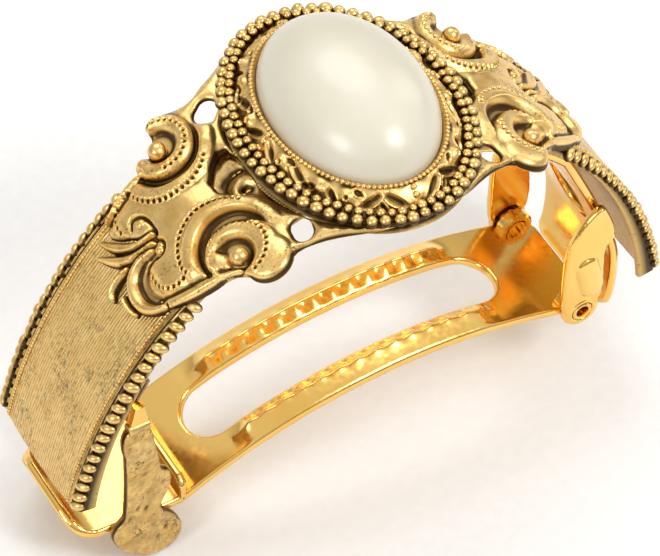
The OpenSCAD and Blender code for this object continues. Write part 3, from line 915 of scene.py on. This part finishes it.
# The border's chasing, written for a quarter this long, from a long end of the oval.
QUARTER = 14.2
LEAF_FEATURES = [
    # along the quarter, across the slope, length, width, height, slant
    (1.9, 0.50, 0.95, 0.34, -0.26, 0.5), (2.9, 0.25, 0.40, 0.18, -0.2, 1.0),
    (3.9, 0.48, 0.95, 0.32, -0.26, -0.6), (5.0, 0.75, 0.40, 0.20, -0.2, 0.3),
    (5.9, 0.50, 0.60, 0.55, 0.30, 0.0), (5.9, 0.50, 0.20, 0.18, -0.28, 0.0),
    (7.0, 0.35, 0.60, 0.28, -0.22, 0.9), (8.0, 0.60, 0.62, 0.50, 0.32, 0.3),
    (9.0, 0.32, 0.60, 0.26, -0.22, -0.4), (10.1, 0.50, 1.00, 0.32, -0.26, 0.5),
    (11.2, 0.75, 0.40, 0.22, -0.2, 0.0), (11.9, 0.50, 0.55, 0.50, 0.30, 0.0),
    (11.9, 0.50, 0.20, 0.18, -0.28, 0.0), (13.1, 0.45, 0.75, 0.30, -0.22, 0.6)
]


def make_setting_plate():
    """The setting's plate: a hollowed rim, and a floor with a saddle under it."""
    path, out, up = oval_frame(PLATE_X, PLATE_Y, 240, PLATE_Z)
    rim = [(-0.62, -0.80), (-0.48, -0.35), (-0.46, -0.12), (-0.52, 0.02), (-0.62, 0.05), (-0.72, 0.36),
           (-1.30, 0.40), (-1.45, 0.10), (-1.80, 0.05), (-1.90, -0.50), (-1.70, -0.98), (-0.30, -0.98)]
    patina_and_shade = [0.8, 1.0, 1.0, 1.0, 1.0, 1.0, 1.0, 1.0, 1.0, 0.5, 0.3, 0.4]
    ring = sweep("setting_rim", path, out, up, rim, True, patina_and_shade)
    place(ring, ANTIQUE, "setting_plate")

    floor_x, floor_y = PLATE_X - 1.6, PLATE_Y - 1.6
    floor_z = PLATE_Z - 0.98

    def inside_oval(x, y):
        return (np.hypot(x / floor_x, y / floor_y) - 1) * floor_x

    def under(x, y, inside):
        cylinder = CROWN_Z + np.sqrt(np.maximum(CROWN_R ** 2 - x ** 2, 0))
        saddle = cylinder * (np.abs(y) < BAND_HALF) + floor_z * (np.abs(y) >= BAND_HALF)
        return np.minimum(saddle, floor_z)

    floor = sheet("setting_floor", (-PLATE_X, PLATE_X), (-PLATE_Y, PLATE_Y), 0.25, inside_oval,
                  lambda x, y, inside: PLATE_Z - 0.1 + 0 * x, under,
                  lambda x, y, h: np.stack([x, y, h], -1), under=0.25)
    place(floor, CAST)


def bead_ring(name, inset, radius, count, z, node):
    """A row of beads round the setting."""
    path, out, up = oval_frame(PLATE_X, PLATE_Y, count, z, inset)
    along = np.cross(up, out)
    sizes = radius * (1 + 0.05 * RNG.standard_normal(count))
    shift = 0.03 * RNG.standard_normal((count, 3))
    axes = [np.array([along[k], out[k], up[k]]) * sizes[k] for k in range(count)]
    piece = beads(name, path + shift, axes, level=4, sink=0.62, rough=0.04)
    place(piece, BEAD, node)


def make_leaf_border():
    """The sloping border between the bead rows and the bezel, chased with leaves and pits."""
    n = 900
    path, out, up = oval_frame(PLATE_X, PLATE_Y, n, PLATE_Z, BORDER_INSET)
    total = np.linalg.norm(np.diff(path, axis=0, append=path[:1]), axis=1).sum()
    t = np.arange(n) / n * total
    quarter = total / 4
    local = np.mod(t, quarter)
    local = np.where(np.floor(t / quarter).astype(int) % 2 == 0, quarter - local, local)
    m = 26
    w = np.linspace(0, 1, m)
    grid_t, grid_w = np.meshgrid(local, w, indexing="ij")
    h = 0.14 * np.sin(math.pi * grid_w) + 0.06 * wobble(t[:, None] + 0 * grid_w, grid_w * 1.6, 11, 1.3)
    for place_t, place_w, length, width, height, slant in LEAF_FEATURES:
        dt, dw = grid_t - place_t * quarter / QUARTER, (grid_w - place_w) * 1.8
        a = dt * math.cos(slant) + dw * math.sin(slant)
        b = -dt * math.sin(slant) + dw * math.cos(slant)
        r = np.hypot(a / length, b / width)
        lip = 0.09 * np.exp(-((r - 1.35) / 0.3) ** 2) if height < 0 else 0
        h = h + height * np.exp(-r ** 3) + lip
    inner_run = (PLATE_X - BORDER_INSET) - (BEZEL_X + 0.42)
    slope = np.array([-inner_run, 1.42])
    normal = np.array([slope[1], -slope[0]]) / np.hypot(*slope)
    top = np.array([0.0, 0.12]) + grid_w[..., None] * slope + h[..., None] * normal
    tail = np.tile([[-inner_run - 0.25, 1.35], [-inner_run - 0.25, -0.2], [0.0, -0.2]], (n, 1, 1))
    section = np.concatenate([top, tail], axis=1)
    points = path[:, None] + section[..., :1] * out[:, None] + section[..., 1:] * up[:, None]
    hollow = np.clip((blur(h, np.ones_like(h), 5) - h) / 0.13, 0, 1)
    hollow = np.maximum(hollow, step_up(0.16 - grid_w, 0, 0.12) * 0.9)
    patina_and_shade = np.concatenate([hollow, np.zeros((n, 3))], axis=1)
    quads = grid_quads(n, section.shape[1])
    border = mesh_object("leaf_border_relief", points.reshape(-1, 3), quads, patina_and_shade.ravel())
    place(border, ANTIQUE, "leaf_border")
    centres, axes = [], []
    for quarter_index in range(4):
        k0 = int(round(quarter_index * n / 4)) % n
        for step_w, r in ((0.16, 0.34), (0.55, 0.31), (0.88, 0.26)):
            p = path[k0] + (step_w * slope[0]) * out[k0] + (0.12 + step_w * slope[1]) * up[k0]
            lift = normal[0] * out[k0] + normal[1] * up[k0]
            along = np.cross(up[k0], out[k0])
            centres.append(p + 0.10 * lift)
            axes.append(np.array([along, np.cross(lift, along), lift]) * r)
    place(beads("leaf_border_studs", centres, axes, level=4, sink=0.1), BEAD)


def make_bezel():
    """The wall that holds the stone, with fine beads along its lip."""
    path, out, up = oval_frame(BEZEL_X, BEZEL_Y, 240, PLATE_Z)
    lip = [(0.45, -0.1), (0.52, 1.30), (0.42, 1.58), (0.26, 1.62), (0.10, 1.48), (0.03, 1.2),
           (0.02, 0.5), (0.02, -0.1)]
    # Darker at the outer foot, and darkest low on the inner wall, in the gap against the pearl: painted
    # shade in that gap.
    patina_and_shade = [0.5, 0.1, 0.0, 0.0, 0.0, 0.1, 0.8, 0.8]
    place(sweep("bezel_wall", path, out, up, lip, True, patina_and_shade), ANTIQUE, "bezel_cup")
    count = 124
    path, out, up = oval_frame(BEZEL_X + 0.40, BEZEL_Y + 0.40, count, PLATE_Z + 1.62)
    along = np.cross(up, out)
    axes = [np.array([along[k] * 0.20, out[k] * 0.21, up[k] * 0.19]) for k in range(count)]
    place(beads("bezel_milgrain", path, axes, level=3, sink=-0.15), BEAD)


def make_pearl():
    """The cabochon: an oval dome, fuller at its shoulder than an ellipsoid."""
    rings, around = 72, 180
    base_z = PEARL_LOW.z + 0.9
    height = PEARL_HIGH.z - base_z
    points = []
    for i in range(rings):
        a = i / rings * math.pi / 2
        r, z = math.cos(a) ** 0.97, math.sin(a)
        path, _, _ = oval_frame(BEZEL_X * r, BEZEL_Y * r, around, base_z + height * z)
        points.append(path)
    skirt, _, _ = oval_frame(BEZEL_X, BEZEL_Y, around, PEARL_LOW.z + 0.05)
    points = np.concatenate([skirt[None], np.array(points)])
    rows = len(points)
    flat = points.reshape(-1, 3)
    flat = np.vstack([flat, [[0, 0, PEARL_HIGH.z], [0, 0, PEARL_LOW.z + 0.05]]])
    quads = grid_quads(rows, around, closed=False)[:, [0, 3, 2, 1]]
    ring = np.arange(around)
    cap = fan((rows - 1) * around + ring, len(flat) - 2)
    foot = fan(ring, len(flat) - 1)[:, [1, 0, 2, 3]]
    pearl = mesh_object("pearl", flat, np.concatenate([quads, cap, foot]), smooth=70)
    place(pearl, PEARL, "pearl_cabochon")


# ---- the clip base

STRAP_HALF = 5.2
STRAP_TOP = -BAND_T
STRAP_LEFT = math.radians(-64.3)
STRAP_RIGHT = math.radians(49.0)
# The skirt's outer line, in X and height above the band's ends.
SKIRT = [
    (21.0, 11.1), (21.75, 9.3), (22.5, 7.4), (23.95, 3.8), (24.25, 1.0), (24.2, -1.5), (24.0, -3.0),
    (23.4, -4.0)
]
# The strap's left slot by its angle and the skirt's by its height, and for each, half the
# distance between its round ends and their radius.
SLOT_ANGLE = 47
SLOT_HEIGHT = 6.8
SLOTS = ((2.2, 1.4), (0.9, 2.0))
# Where the base rivets and the clasp rivet stand: arc length, and angle from the top.
RIVET_S = 5.4
CLASP_RIVET_ANGLE = 61


def strap_line():
    """The strap's outer face from the side: under the arch, then down the skirt beside the hinge."""
    count = 90
    under = []
    for k in range(count):
        angle = STRAP_LEFT + (STRAP_RIGHT - STRAP_LEFT) * k / (count - 1)
        s = math.copysign(arch_s(abs(math.degrees(angle))), angle)
        x, _, z = arch(s, 0.0, STRAP_TOP - 0.04)
        under.append((float(x), float(z)))
    return under + [(x, END_H + z) for x, z in SKIRT]


def make_strap():
    """The strap, its ears' shoulder, its skirt and its two slots."""
    put, length = bent(strap_line())
    us = np.linspace(0, length, 1200)
    points = put(us, np.zeros(1200), np.zeros(1200))
    x, z = points[:, 0], points[:, 2]
    from_left_slot = np.abs(x - arch(-arch_s(SLOT_ANGLE), 0.0, STRAP_TOP)[0])
    from_skirt_slot = np.abs(z - (END_H + SLOT_HEIGHT)) + 9 * (x < 0)
    slots = [float(us[int(np.argmin(far))]) for far in (from_left_slot, from_skirt_slot)]
    heel = slots[1] + 1.9

    def sdf(u, v):
        shoulder = step_up(u, heel - 4.6, heel - 3.9) * (1 - step_up(u, heel - 1.6, heel - 0.9))
        wide = STRAP_HALF + (EAR_OUT - 0.02 - STRAP_HALF) * shoulder
        edge = np.minimum(u, length - u)
        corner = 0.9 * np.clip(1 - edge / 0.9, 0, 1) ** 2
        d = np.maximum(np.abs(v) - wide + corner, -edge)
        for centre, (reach, round_end) in zip(slots, SLOTS):
            ends = (centre - reach, 0), (centre + reach, 0)
            d = np.maximum(d, -capsule(u, v, *ends, round_end, round_end))
        return d

    def top(u, v, inside):
        return 0.02 * wobble(u, v, 21, 9.0) - 0.02 - rolled_edge(inside, 0.25, 0.22)

    def low(u, v, inside):
        return -SHEET_T + rolled_edge(inside, 0.25, 0.22) + 0.02 * wobble(u, v, 22, 9.0)

    strap = sheet("clip_strap", (0, length), (-EAR_OUT, EAR_OUT), 0.17, sdf, top, low, put, under=0.0)
    place(strap, PLATED, "clip_base")


# An ear's outline, in X and height above the band's ends, and the radius round its bore.
EAR = soften([
    (18.5, -1.5), (18.2, 0.1), (18.1, 6.4), (18.9, 8.2), (20.0, 9.8), (21.3, 10.8), (22.0, 9.4),
    (22.8, 7.2), (22.6, 6.2), (21.9, 5.5), (22.0, 3.0), (22.2, 1.1), (21.9, -1.5)
], 2)
EAR_TIP = 1.7


def make_ear(name, side):
    """A hinge ear, with a pressed bulge and a lip round its bore."""
    def sdf(x, z):
        d = np.minimum(polygon(x, z - END_H, EAR), circle(x, z, PIN_X, PIN_Z, EAR_TIP))
        return np.maximum(d, -circle(x, z, PIN_X, PIN_Z, PIN_R))

    def top(x, z, inside):
        bulge = ridge(capsule(x, z, (20.9, END_H + 1.3), (20.2, END_H + 3.9), 0.25, 0.25), 0.85, 0.40)
        lip = ridge(circle(x, z, PIN_X, PIN_Z, PIN_R + 0.24), 0.22, 0.14)
        face = EAR_OUT - 0.06 + bulge + lip + 0.03 * wobble(x, z, 31, 4.0)
        return face - rolled_edge(inside, 0.30, 0.26)

    ear = sheet(name, (18.0, 22.9), (END_H - 3.3, END_H + 10.9), 0.09, sdf, top,
                lambda x, z, i: EAR_OUT - SHEET_T - 0.02 + rolled_edge(i, 0.2, 0.18),
                lambda x, z, h: np.stack([x, side * h, z], -1), under=0.0)
    place(ear, PLATED)


LUG_R = 1.55
LUG_T = 1.1
LUG_Y = ARM_HIGH.y - 0.23 - LUG_T


def make_pins():
    """The two short hollow rivets that the arm's lugs turn on."""
    end, face = LUG_Y + 0.02, EAR_OUT - 0.05
    for side, word in ((-1, "near"), (1, "far")):
        wall = [(PIN_R - 0.3, end), (PIN_R - 0.02, end), (PIN_R - 0.02, face),
                (PIN_R + 0.06, face + 0.06), (PIN_R - 0.04, face + 0.13),
                (PIN_R - 0.26, face + 0.08), (PIN_R - 0.3, face - 0.1)]
        pin = turned("hinge_rivet_" + word, (PIN_X, 0, PIN_Z), (0, side, 0), wall, n=72)
        place(pin, PLATED, *(["hinge_pin"] if side < 0 else []))


def rivet_head(name, s, depth, slot, *nodes):
    """A domed rivet at arc length s, whose head lies at a depth under the band's face."""
    centre, a = on_arch(s, 0, -depth)
    dome = [(0.0, -0.62), (0.35, -0.60), (0.75, -0.48), (1.05, -0.27), (1.18, -0.06), (1.15, 0.0),
            (0.7, 0.02), (0.66, 0.1), (0.66, depth - 0.3), (0.0, depth - 0.3)]
    head = turned(name, centre, a[2], dome, patina_and_shade=[0, 0, 0, 0.1, 0.5, 0.7, 0.5, 0.5, 0.5, 0.5])
    place(head, PLATED, *nodes, slot=slot)


# ---- the clasp

LEG_IN = LEG_LOW.y
LEG_OUT = LEG_HIGH.y
LEG_MID = (LEG_IN + LEG_OUT) / 2
LEG_X0 = -22.6
LEG_X1 = -20.7
LEG_RISE = 7.6
BRIDGE_T = 0.7
BRIDGE_ANGLES = (58.5, 63.6)
# A leg's outline, in X and height above the band's ends.
LEG = soften([
    (-22.6, 7.6), (-20.7, 7.6), (-20.2, 5), (-19.8, 3), (-19.7, 1.5), (-19.3, 1.1),
    (-18.9, 0.9), (-18.7, 0), (-18.8, -1.3), (-19.3, -2.3), (-19.7, -3.4), (-19.3, -4.1),
    (-18.3, -5.2), (-17.7, -6.5), (-17.6, -7.6), (-18.1, -8.6), (-19.1, -9.25),
    (-20.6, -9.25), (-22, -8.4), (-23.3, -7), (-24, -5.5), (-23.9, -4.4),
    (-23, -3.6), (-22.8, -3), (-22.8, 4.2), (-23.1, 5.2), (-23.1, 6.8)
], 2)


def make_leg(side, node):
    """A clasp leg: the hammered plate, its rolled top and its catch."""
    def sdf(x, z):
        return polygon(x, z - END_H, LEG)

    def top(x, z, inside):
        hammered = 0.10 - 0.30 * np.abs(wobble(x, z, 41, 2.1)) + 0.06 * wobble(x, z, 43, 0.8)
        return LEG_OUT - 0.08 + hammered * step_up(inside, 0, 0.5) - rolled_edge(inside, 0.28, 0.26)

    def low(x, z, inside):
        return LEG_IN + 0.02 + rolled_edge(inside, 0.28, 0.26) - 0.02 * wobble(x, z, 47, 1.2)

    leg = sheet(node + "_plate", (-24.2, -17.4), (0.0, END_H + 7.8), 0.09, sdf, top, low,
                lambda x, z, h: np.stack([x, side * h, z], -1), cavity=0.22, reach=0.9, under=0.3)
    place(leg, CAST, node, body=node)
    mid, r = LEG_MID, (LEG_OUT - LEG_IN) / 2 + 0.08
    roll = [(0.0, LEG_X0), (r * 0.8, LEG_X0), (r, LEG_X0 + 0.12), (r, LEG_X1 - 0.12),
            (r * 0.8, LEG_X1), (0.0, LEG_X1)]
    curl = turned(node + "_roll", (0, side * mid, END_H + LEG_RISE), (1, 0, 0), roll)
    place(curl, CAST, body=node)
    catch_at = np.array([-19.6, side * LEG_IN, END_H])
    catch = beads(node + "_catch", [catch_at], [np.diag([0.5, 0.3, 0.4])], level=4)
    place(catch, BEAD, body=node)


def make_bridge():
    """The bridge under the strap, and the tabs down to the legs' tops."""
    s0, s1 = (arch_s(angle) for angle in BRIDGE_ANGLES)
    depth = BAND_T + SHEET_T

    def sdf(s, y):
        return np.maximum(np.abs(y) - LEG_IN + 0.02, np.maximum(s0 - s, s - s1))

    def low(s, y, inside):
        return -depth - BRIDGE_T + rolled_edge(inside, 0.25, 0.2) + 0.03 * wobble(s, y, 51, 1.5)

    plate = sheet("bridge_plate", (s0, s1), (-LEG_IN, LEG_IN), 0.12, sdf,
                  lambda s, y, i: -depth - 0.03 - rolled_edge(i, 0.2, 0.15),
                  low, lambda s, y, h: arch(-s, y, h), under=0.4)
    place(plate, CAST, "clasp_bridge")
    for side, word in ((-1, "near"), (1, "far")):
        mid, r = LEG_MID, (LEG_OUT - LEG_IN) / 2
        z0 = END_H + LEG_RISE + r + 0.05
        path = [(0.5 * (LEG_X0 + LEG_X1), side * mid, z0 + k * 0.25) for k in range(9)]
        n = len(path)
        section = rounded(-0.95, 0.95, -r, r, 0.25)
        narrow = np.linspace(0.85, 0.45, n)[:, None] * np.array([[1.0, 0.0, 0.0]])
        lean = np.tile([0.0, 0.8, 0.0], (n, 1))
        tab = sweep("bridge_tab_" + word, path, narrow, lean, section, False, [0.35] * len(section))
        place(tab, PLATED)


# ---- the slotted arm

ARM_R = 46.0
ARM_X = 5.0
ARM_TOP = END_H + 0.8
ARM_CZ = ARM_TOP - ARM_R
ARM_HALF = ARM_HIGH.y
FLANGE_X = -17.4
FLANGE_HALF = 5.4
TAB_X = ARM_LOW.x
TAB_Z = END_H - 5.6
SLOT_HALF = 2.6
RAIL_MID = 3.85
TOOTH = 1.7
TAIL_X = 22.35
SLOT_LEFT = -11.6
SLOT_RIGHT = 12.5
THUMB_ROUND = 2.7


def arm_z(x):
    """The height of the bowed arm's top face."""
    return ARM_CZ + math.sqrt(ARM_R ** 2 - (x - ARM_X) ** 2)


def arm_outline():
    """The arm's top face from the side: the thumb tab's lip, then the bow."""
    left = [(TAB_X + 0.15, TAB_Z + 2.20), (-26.15, TAB_Z + 1.45), (-25.7, TAB_Z + 0.98),
            (-24.8, TAB_Z + 0.80), (-24.0, TAB_Z + 0.85)]
    return left + [(x, arm_z(x)) for x in np.linspace(FLANGE_X, TAIL_X, 50)]


def make_arm():
    """The slotted arm, ridged and toothed along its slot."""
    put, length = bent(arm_outline())
    us = np.linspace(0, length, 1500)
    xs = put(us, np.zeros(1500), np.zeros(1500))[:, 0]
    slot_a, slot_b = np.interp((SLOT_LEFT, SLOT_RIGHT), xs, us)

    def sdf(u, v):
        left = THUMB_ROUND * np.clip(1 - u / THUMB_ROUND, 0, 1) ** 2.4
        right = 0.8 * np.clip(1 - (length - u) / 0.8, 0, 1) ** 2
        d = np.maximum(np.abs(v) - ARM_HALF + 0.02 + left + right, np.maximum(-u, u - length))
        return np.maximum(d, -capsule(u, v, (slot_a, 0), (slot_b, 0), SLOT_HALF, SLOT_HALF))

    def relief(u, v):
        along = step_up(u, slot_a - 0.4, slot_a + 2.2) * (1 - step_up(u, slot_b - 1.6, slot_b + 0.8))
        off = (np.abs(v) - RAIL_MID) / (ARM_HALF - RAIL_MID)
        saw = np.mod(u / TOOTH, 1)
        teeth = 0.20 * (np.abs(saw - 0.5) * 2 - 0.5) * np.exp(-((off + 0.25) / 0.30) ** 2)
        return along * (0.80 * np.clip(1 - np.abs(off), 0, 1) ** 1.1 - teeth)

    def top(u, v, inside):
        return relief(u, v) + 0.04 * wobble(u, v, 61, 9.0) - rolled_edge(inside, 0.22, 0.2)

    def bottom(u, v, inside):
        return -SHEET_T + 0.75 * relief(u, v) + rolled_edge(inside, 0.22, 0.2)

    arm = sheet("arm_strip", (0, length), (-ARM_HALF, ARM_HALF), 0.13, sdf, top, bottom, put, under=0.0)
    place(arm, PLATED, "arm", body="arm")


def make_arm_flange():
    """The cross flange that stands up at the arm's clasp end."""
    z0, z1 = arm_z(FLANGE_X) - 0.2, arm_z(FLANGE_X) + 2.1

    def sdf(v, z):
        corner = 1.0 * np.clip(1 - (z1 - z) / 1.0, 0, 1) ** 2
        return np.maximum(np.abs(v) - FLANGE_HALF + 0.02 + corner, np.maximum(z0 - z, z - z1))

    flange = sheet("arm_flange", (-FLANGE_HALF, FLANGE_HALF), (z0, z1), 0.12, sdf,
                   lambda v, z, i: 0.78 - rolled_edge(i, 0.2, 0.3) + 0 * v,
                   lambda v, z, i: 0.02 + rolled_edge(i, 0.2, 0.3) + 0 * v,
                   lambda v, z, h: np.stack([FLANGE_X + h, v, z], -1), under=0.0)
    place(flange, PLATED, body="arm")


def make_arm_lugs():
    """The two round lugs on the arm's edges, bored for the hinge rivets."""
    bore = PIN_R + 0.05
    face = LUG_Y + LUG_T
    profile = [(bore, LUG_Y + 0.08), (bore + 0.08, LUG_Y), (LUG_R - 0.18, LUG_Y), (LUG_R, LUG_Y + 0.18),
               (LUG_R, face - 0.18), (LUG_R - 0.18, face), (bore + 0.08, face), (bore, face - 0.08)]
    for side, word in ((-1, "near"), (1, "far")):
        lug = turned("arm_lug_" + word, (PIN_X, 0, PIN_Z), (0, side, 0), profile, n=72)
        place(lug, PLATED, body="arm")


# ---- build

make_band()
for side, word in ((-1, "left"), (1, "right")):
    make_edge(side, -1, "edge_beads_" + word + "_near")
    make_edge(side, 1, "edge_beads_" + word + "_far")
    make_wing(side, "scroll_" + word, "scroll_balls_" + word)
    make_window_shade_relief(side, word)
make_setting_plate()
bead_ring("outer_beads", *OUTER_BEADS, "outer_bead_ring")
bead_ring("inner_beads", *INNER_BEADS, "inner_bead_ring")
make_leaf_border()
make_bezel()
make_pearl()
make_strap()
make_ear("ear_near", -1)
make_ear("ear_far", 1)
make_pins()
rivet_head("base_rivet_left", -RIVET_S, BAND_T + SHEET_T, "gold_plate", "base_rivets")
rivet_head("base_rivet_right", RIVET_S, BAND_T + SHEET_T, "gold_plate")
clasp_rivet_s = -arch_s(CLASP_RIVET_ANGLE)
rivet_head("clasp_rivet_head", clasp_rivet_s, BAND_T + SHEET_T + BRIDGE_T, "antique_gold", "clasp_rivet")
make_leg(-1, "clasp_leg_near")
make_leg(1, "clasp_leg_far")
make_bridge()
make_arm()
make_arm_flange()
make_arm_lugs()


# ---- the studio

PAPER_DARK = 0.87
PAPER_PALE = 0.90


def make_floor():
    """A plain pale sheet that curves up behind the object."""
    front, back, side, r = -1.2, 0.45, 1.6, 0.25
    bend = [(back + r * math.sin(a), r - r * math.cos(a)) for a in np.linspace(0, 1.35, 14)]
    profile = [(front, 0.0)] + bend
    points = [(x, y, z) for y, z in profile for x in (-side, side)]
    faces = [(2 * k, 2 * k + 1, 2 * k + 3, 2 * k + 2) for k in range(len(profile) - 1)]
    mesh = bpy.data.meshes.new("floor")
    mesh.from_pydata(points, [], faces)
    floor = bpy.data.objects.new("floor", mesh)
    bpy.context.scene.collection.objects.link(floor)
    mat, shader = material("floor_paper", (PAPER_DARK,) * 3, 0.0, 0.9)
    g = Graph(mat)
    grain = g.noise(g.coords(), 900, 3, 0.5)
    paper = g.mix(g.remap(grain, 0.3, 0.7), (PAPER_DARK,) * 3, (PAPER_PALE,) * 3)
    g.link(paper, shader.inputs["Base Color"])
    floor.data.materials.append(mat)


def softbox(name, azimuth, elevation, distance, size, power):
    light = bpy.data.lights.new(name, "AREA")
    light.shape = "ELLIPSE"
    light.size, light.size_y = size
    light.energy = power
    lamp = bpy.data.objects.new(name, light)
    bpy.context.scene.collection.objects.link(lamp)
    a, e = math.radians(azimuth), math.radians(elevation)
    back = Vector((math.sin(a) * math.cos(e), -math.cos(a) * math.cos(e), math.sin(e)))
    middle = (cad_low + cad_high) / 2
    lamp.location = middle + back * distance
    lamp.rotation_mode = "QUATERNION"
    lamp.rotation_quaternion = back.to_track_quat("Z", "Y")


WARM_WHITE = (1.0, 0.985, 0.96, 1)
# The sky brightens upwards: from and to these heights of the view, between these strengths.
SKY = (-0.05, 0.75, 0.22, 0.75)
# Name, azimuth, elevation, distance, size and power.
LIGHTS = (
    ("key", 26, 48, 0.55, (0.20, 0.20), 1.15),
    ("left", -72, 30, 0.6, (0.20, 0.24), 0.85),
    ("back", 162, 59, 0.6, (0.45, 0.36), 1.05),
    ("right", 100, 28, 0.6, (0.2, 0.4), 0.35)
)


def make_lights():
    """The even sky and the soft lights."""
    bpy.context.scene.view_settings.view_transform = "Standard"
    world = bpy.data.worlds.new("studio")
    bpy.context.scene.world = world
    world.use_nodes = True
    background = world.node_tree.nodes["Background"]
    background.inputs["Color"].default_value = WARM_WHITE
    nodes, links = world.node_tree.nodes, world.node_tree.links
    direction = nodes.new("ShaderNodeTexCoord")
    split = nodes.new("ShaderNodeSeparateXYZ")
    rising = nodes.new("ShaderNodeMapRange")
    for key, number in zip(("From Min", "From Max", "To Min", "To Max"), SKY):
        rising.inputs[key].default_value = number
    links.new(direction.outputs["Generated"], split.inputs["Vector"])
    links.new(split.outputs["Z"], rising.inputs["Value"])
    links.new(rising.outputs["Result"], background.inputs["Strength"])
    for light in LIGHTS:
        softbox(*light)


# The camera, solved from the photo: angles in degrees, distance from the arch's top in metres,
# and how far to the left of the top and below it the camera aims.
AZIMUTH = 32.7
ELEVATION = 46.8
ROLL = 3.4
DISTANCE = 0.34592
AIM = (0.2297, 2.0674)
LENS = 243.4


def make_camera():
    """The photograph's view: a long lens, looking down from the front left."""
    camera = bpy.data.objects.new("camera", bpy.data.cameras.new("camera"))
    bpy.context.scene.collection.objects.link(camera)
    a, e, roll = math.radians(AZIMUTH), math.radians(ELEVATION), math.radians(ROLL)
    back = Vector((-math.sin(a) * math.cos(e), -math.cos(a) * math.cos(e), math.sin(e)))
    level = Vector((math.cos(a), -math.sin(a), 0))
    rise = level.cross(-back)
    right = math.cos(roll) * level + math.sin(roll) * rise
    up = -math.sin(roll) * level + math.cos(roll) * rise
    apex = Vector((0, 0, APEX_Z * MM))
    aside, below = (math.tan(math.radians(angle)) for angle in AIM)
    forward = -back - aside * right - below * up
    forward.normalize()
    right = (right - right.dot(forward) * forward).normalized()
    up = right.cross(forward)
    basis = Matrix((right, up, -forward)).transposed()
    camera.matrix_world = Matrix.Translation(apex + DISTANCE * back) @ basis.to_4x4()
    camera.data.lens = LENS
    camera.data.sensor_width = 36.0
    camera.data.clip_start = 0.01
    camera.data.clip_end = 10
    bpy.context.scene.camera = camera


make_floor()
make_lights()
make_camera()
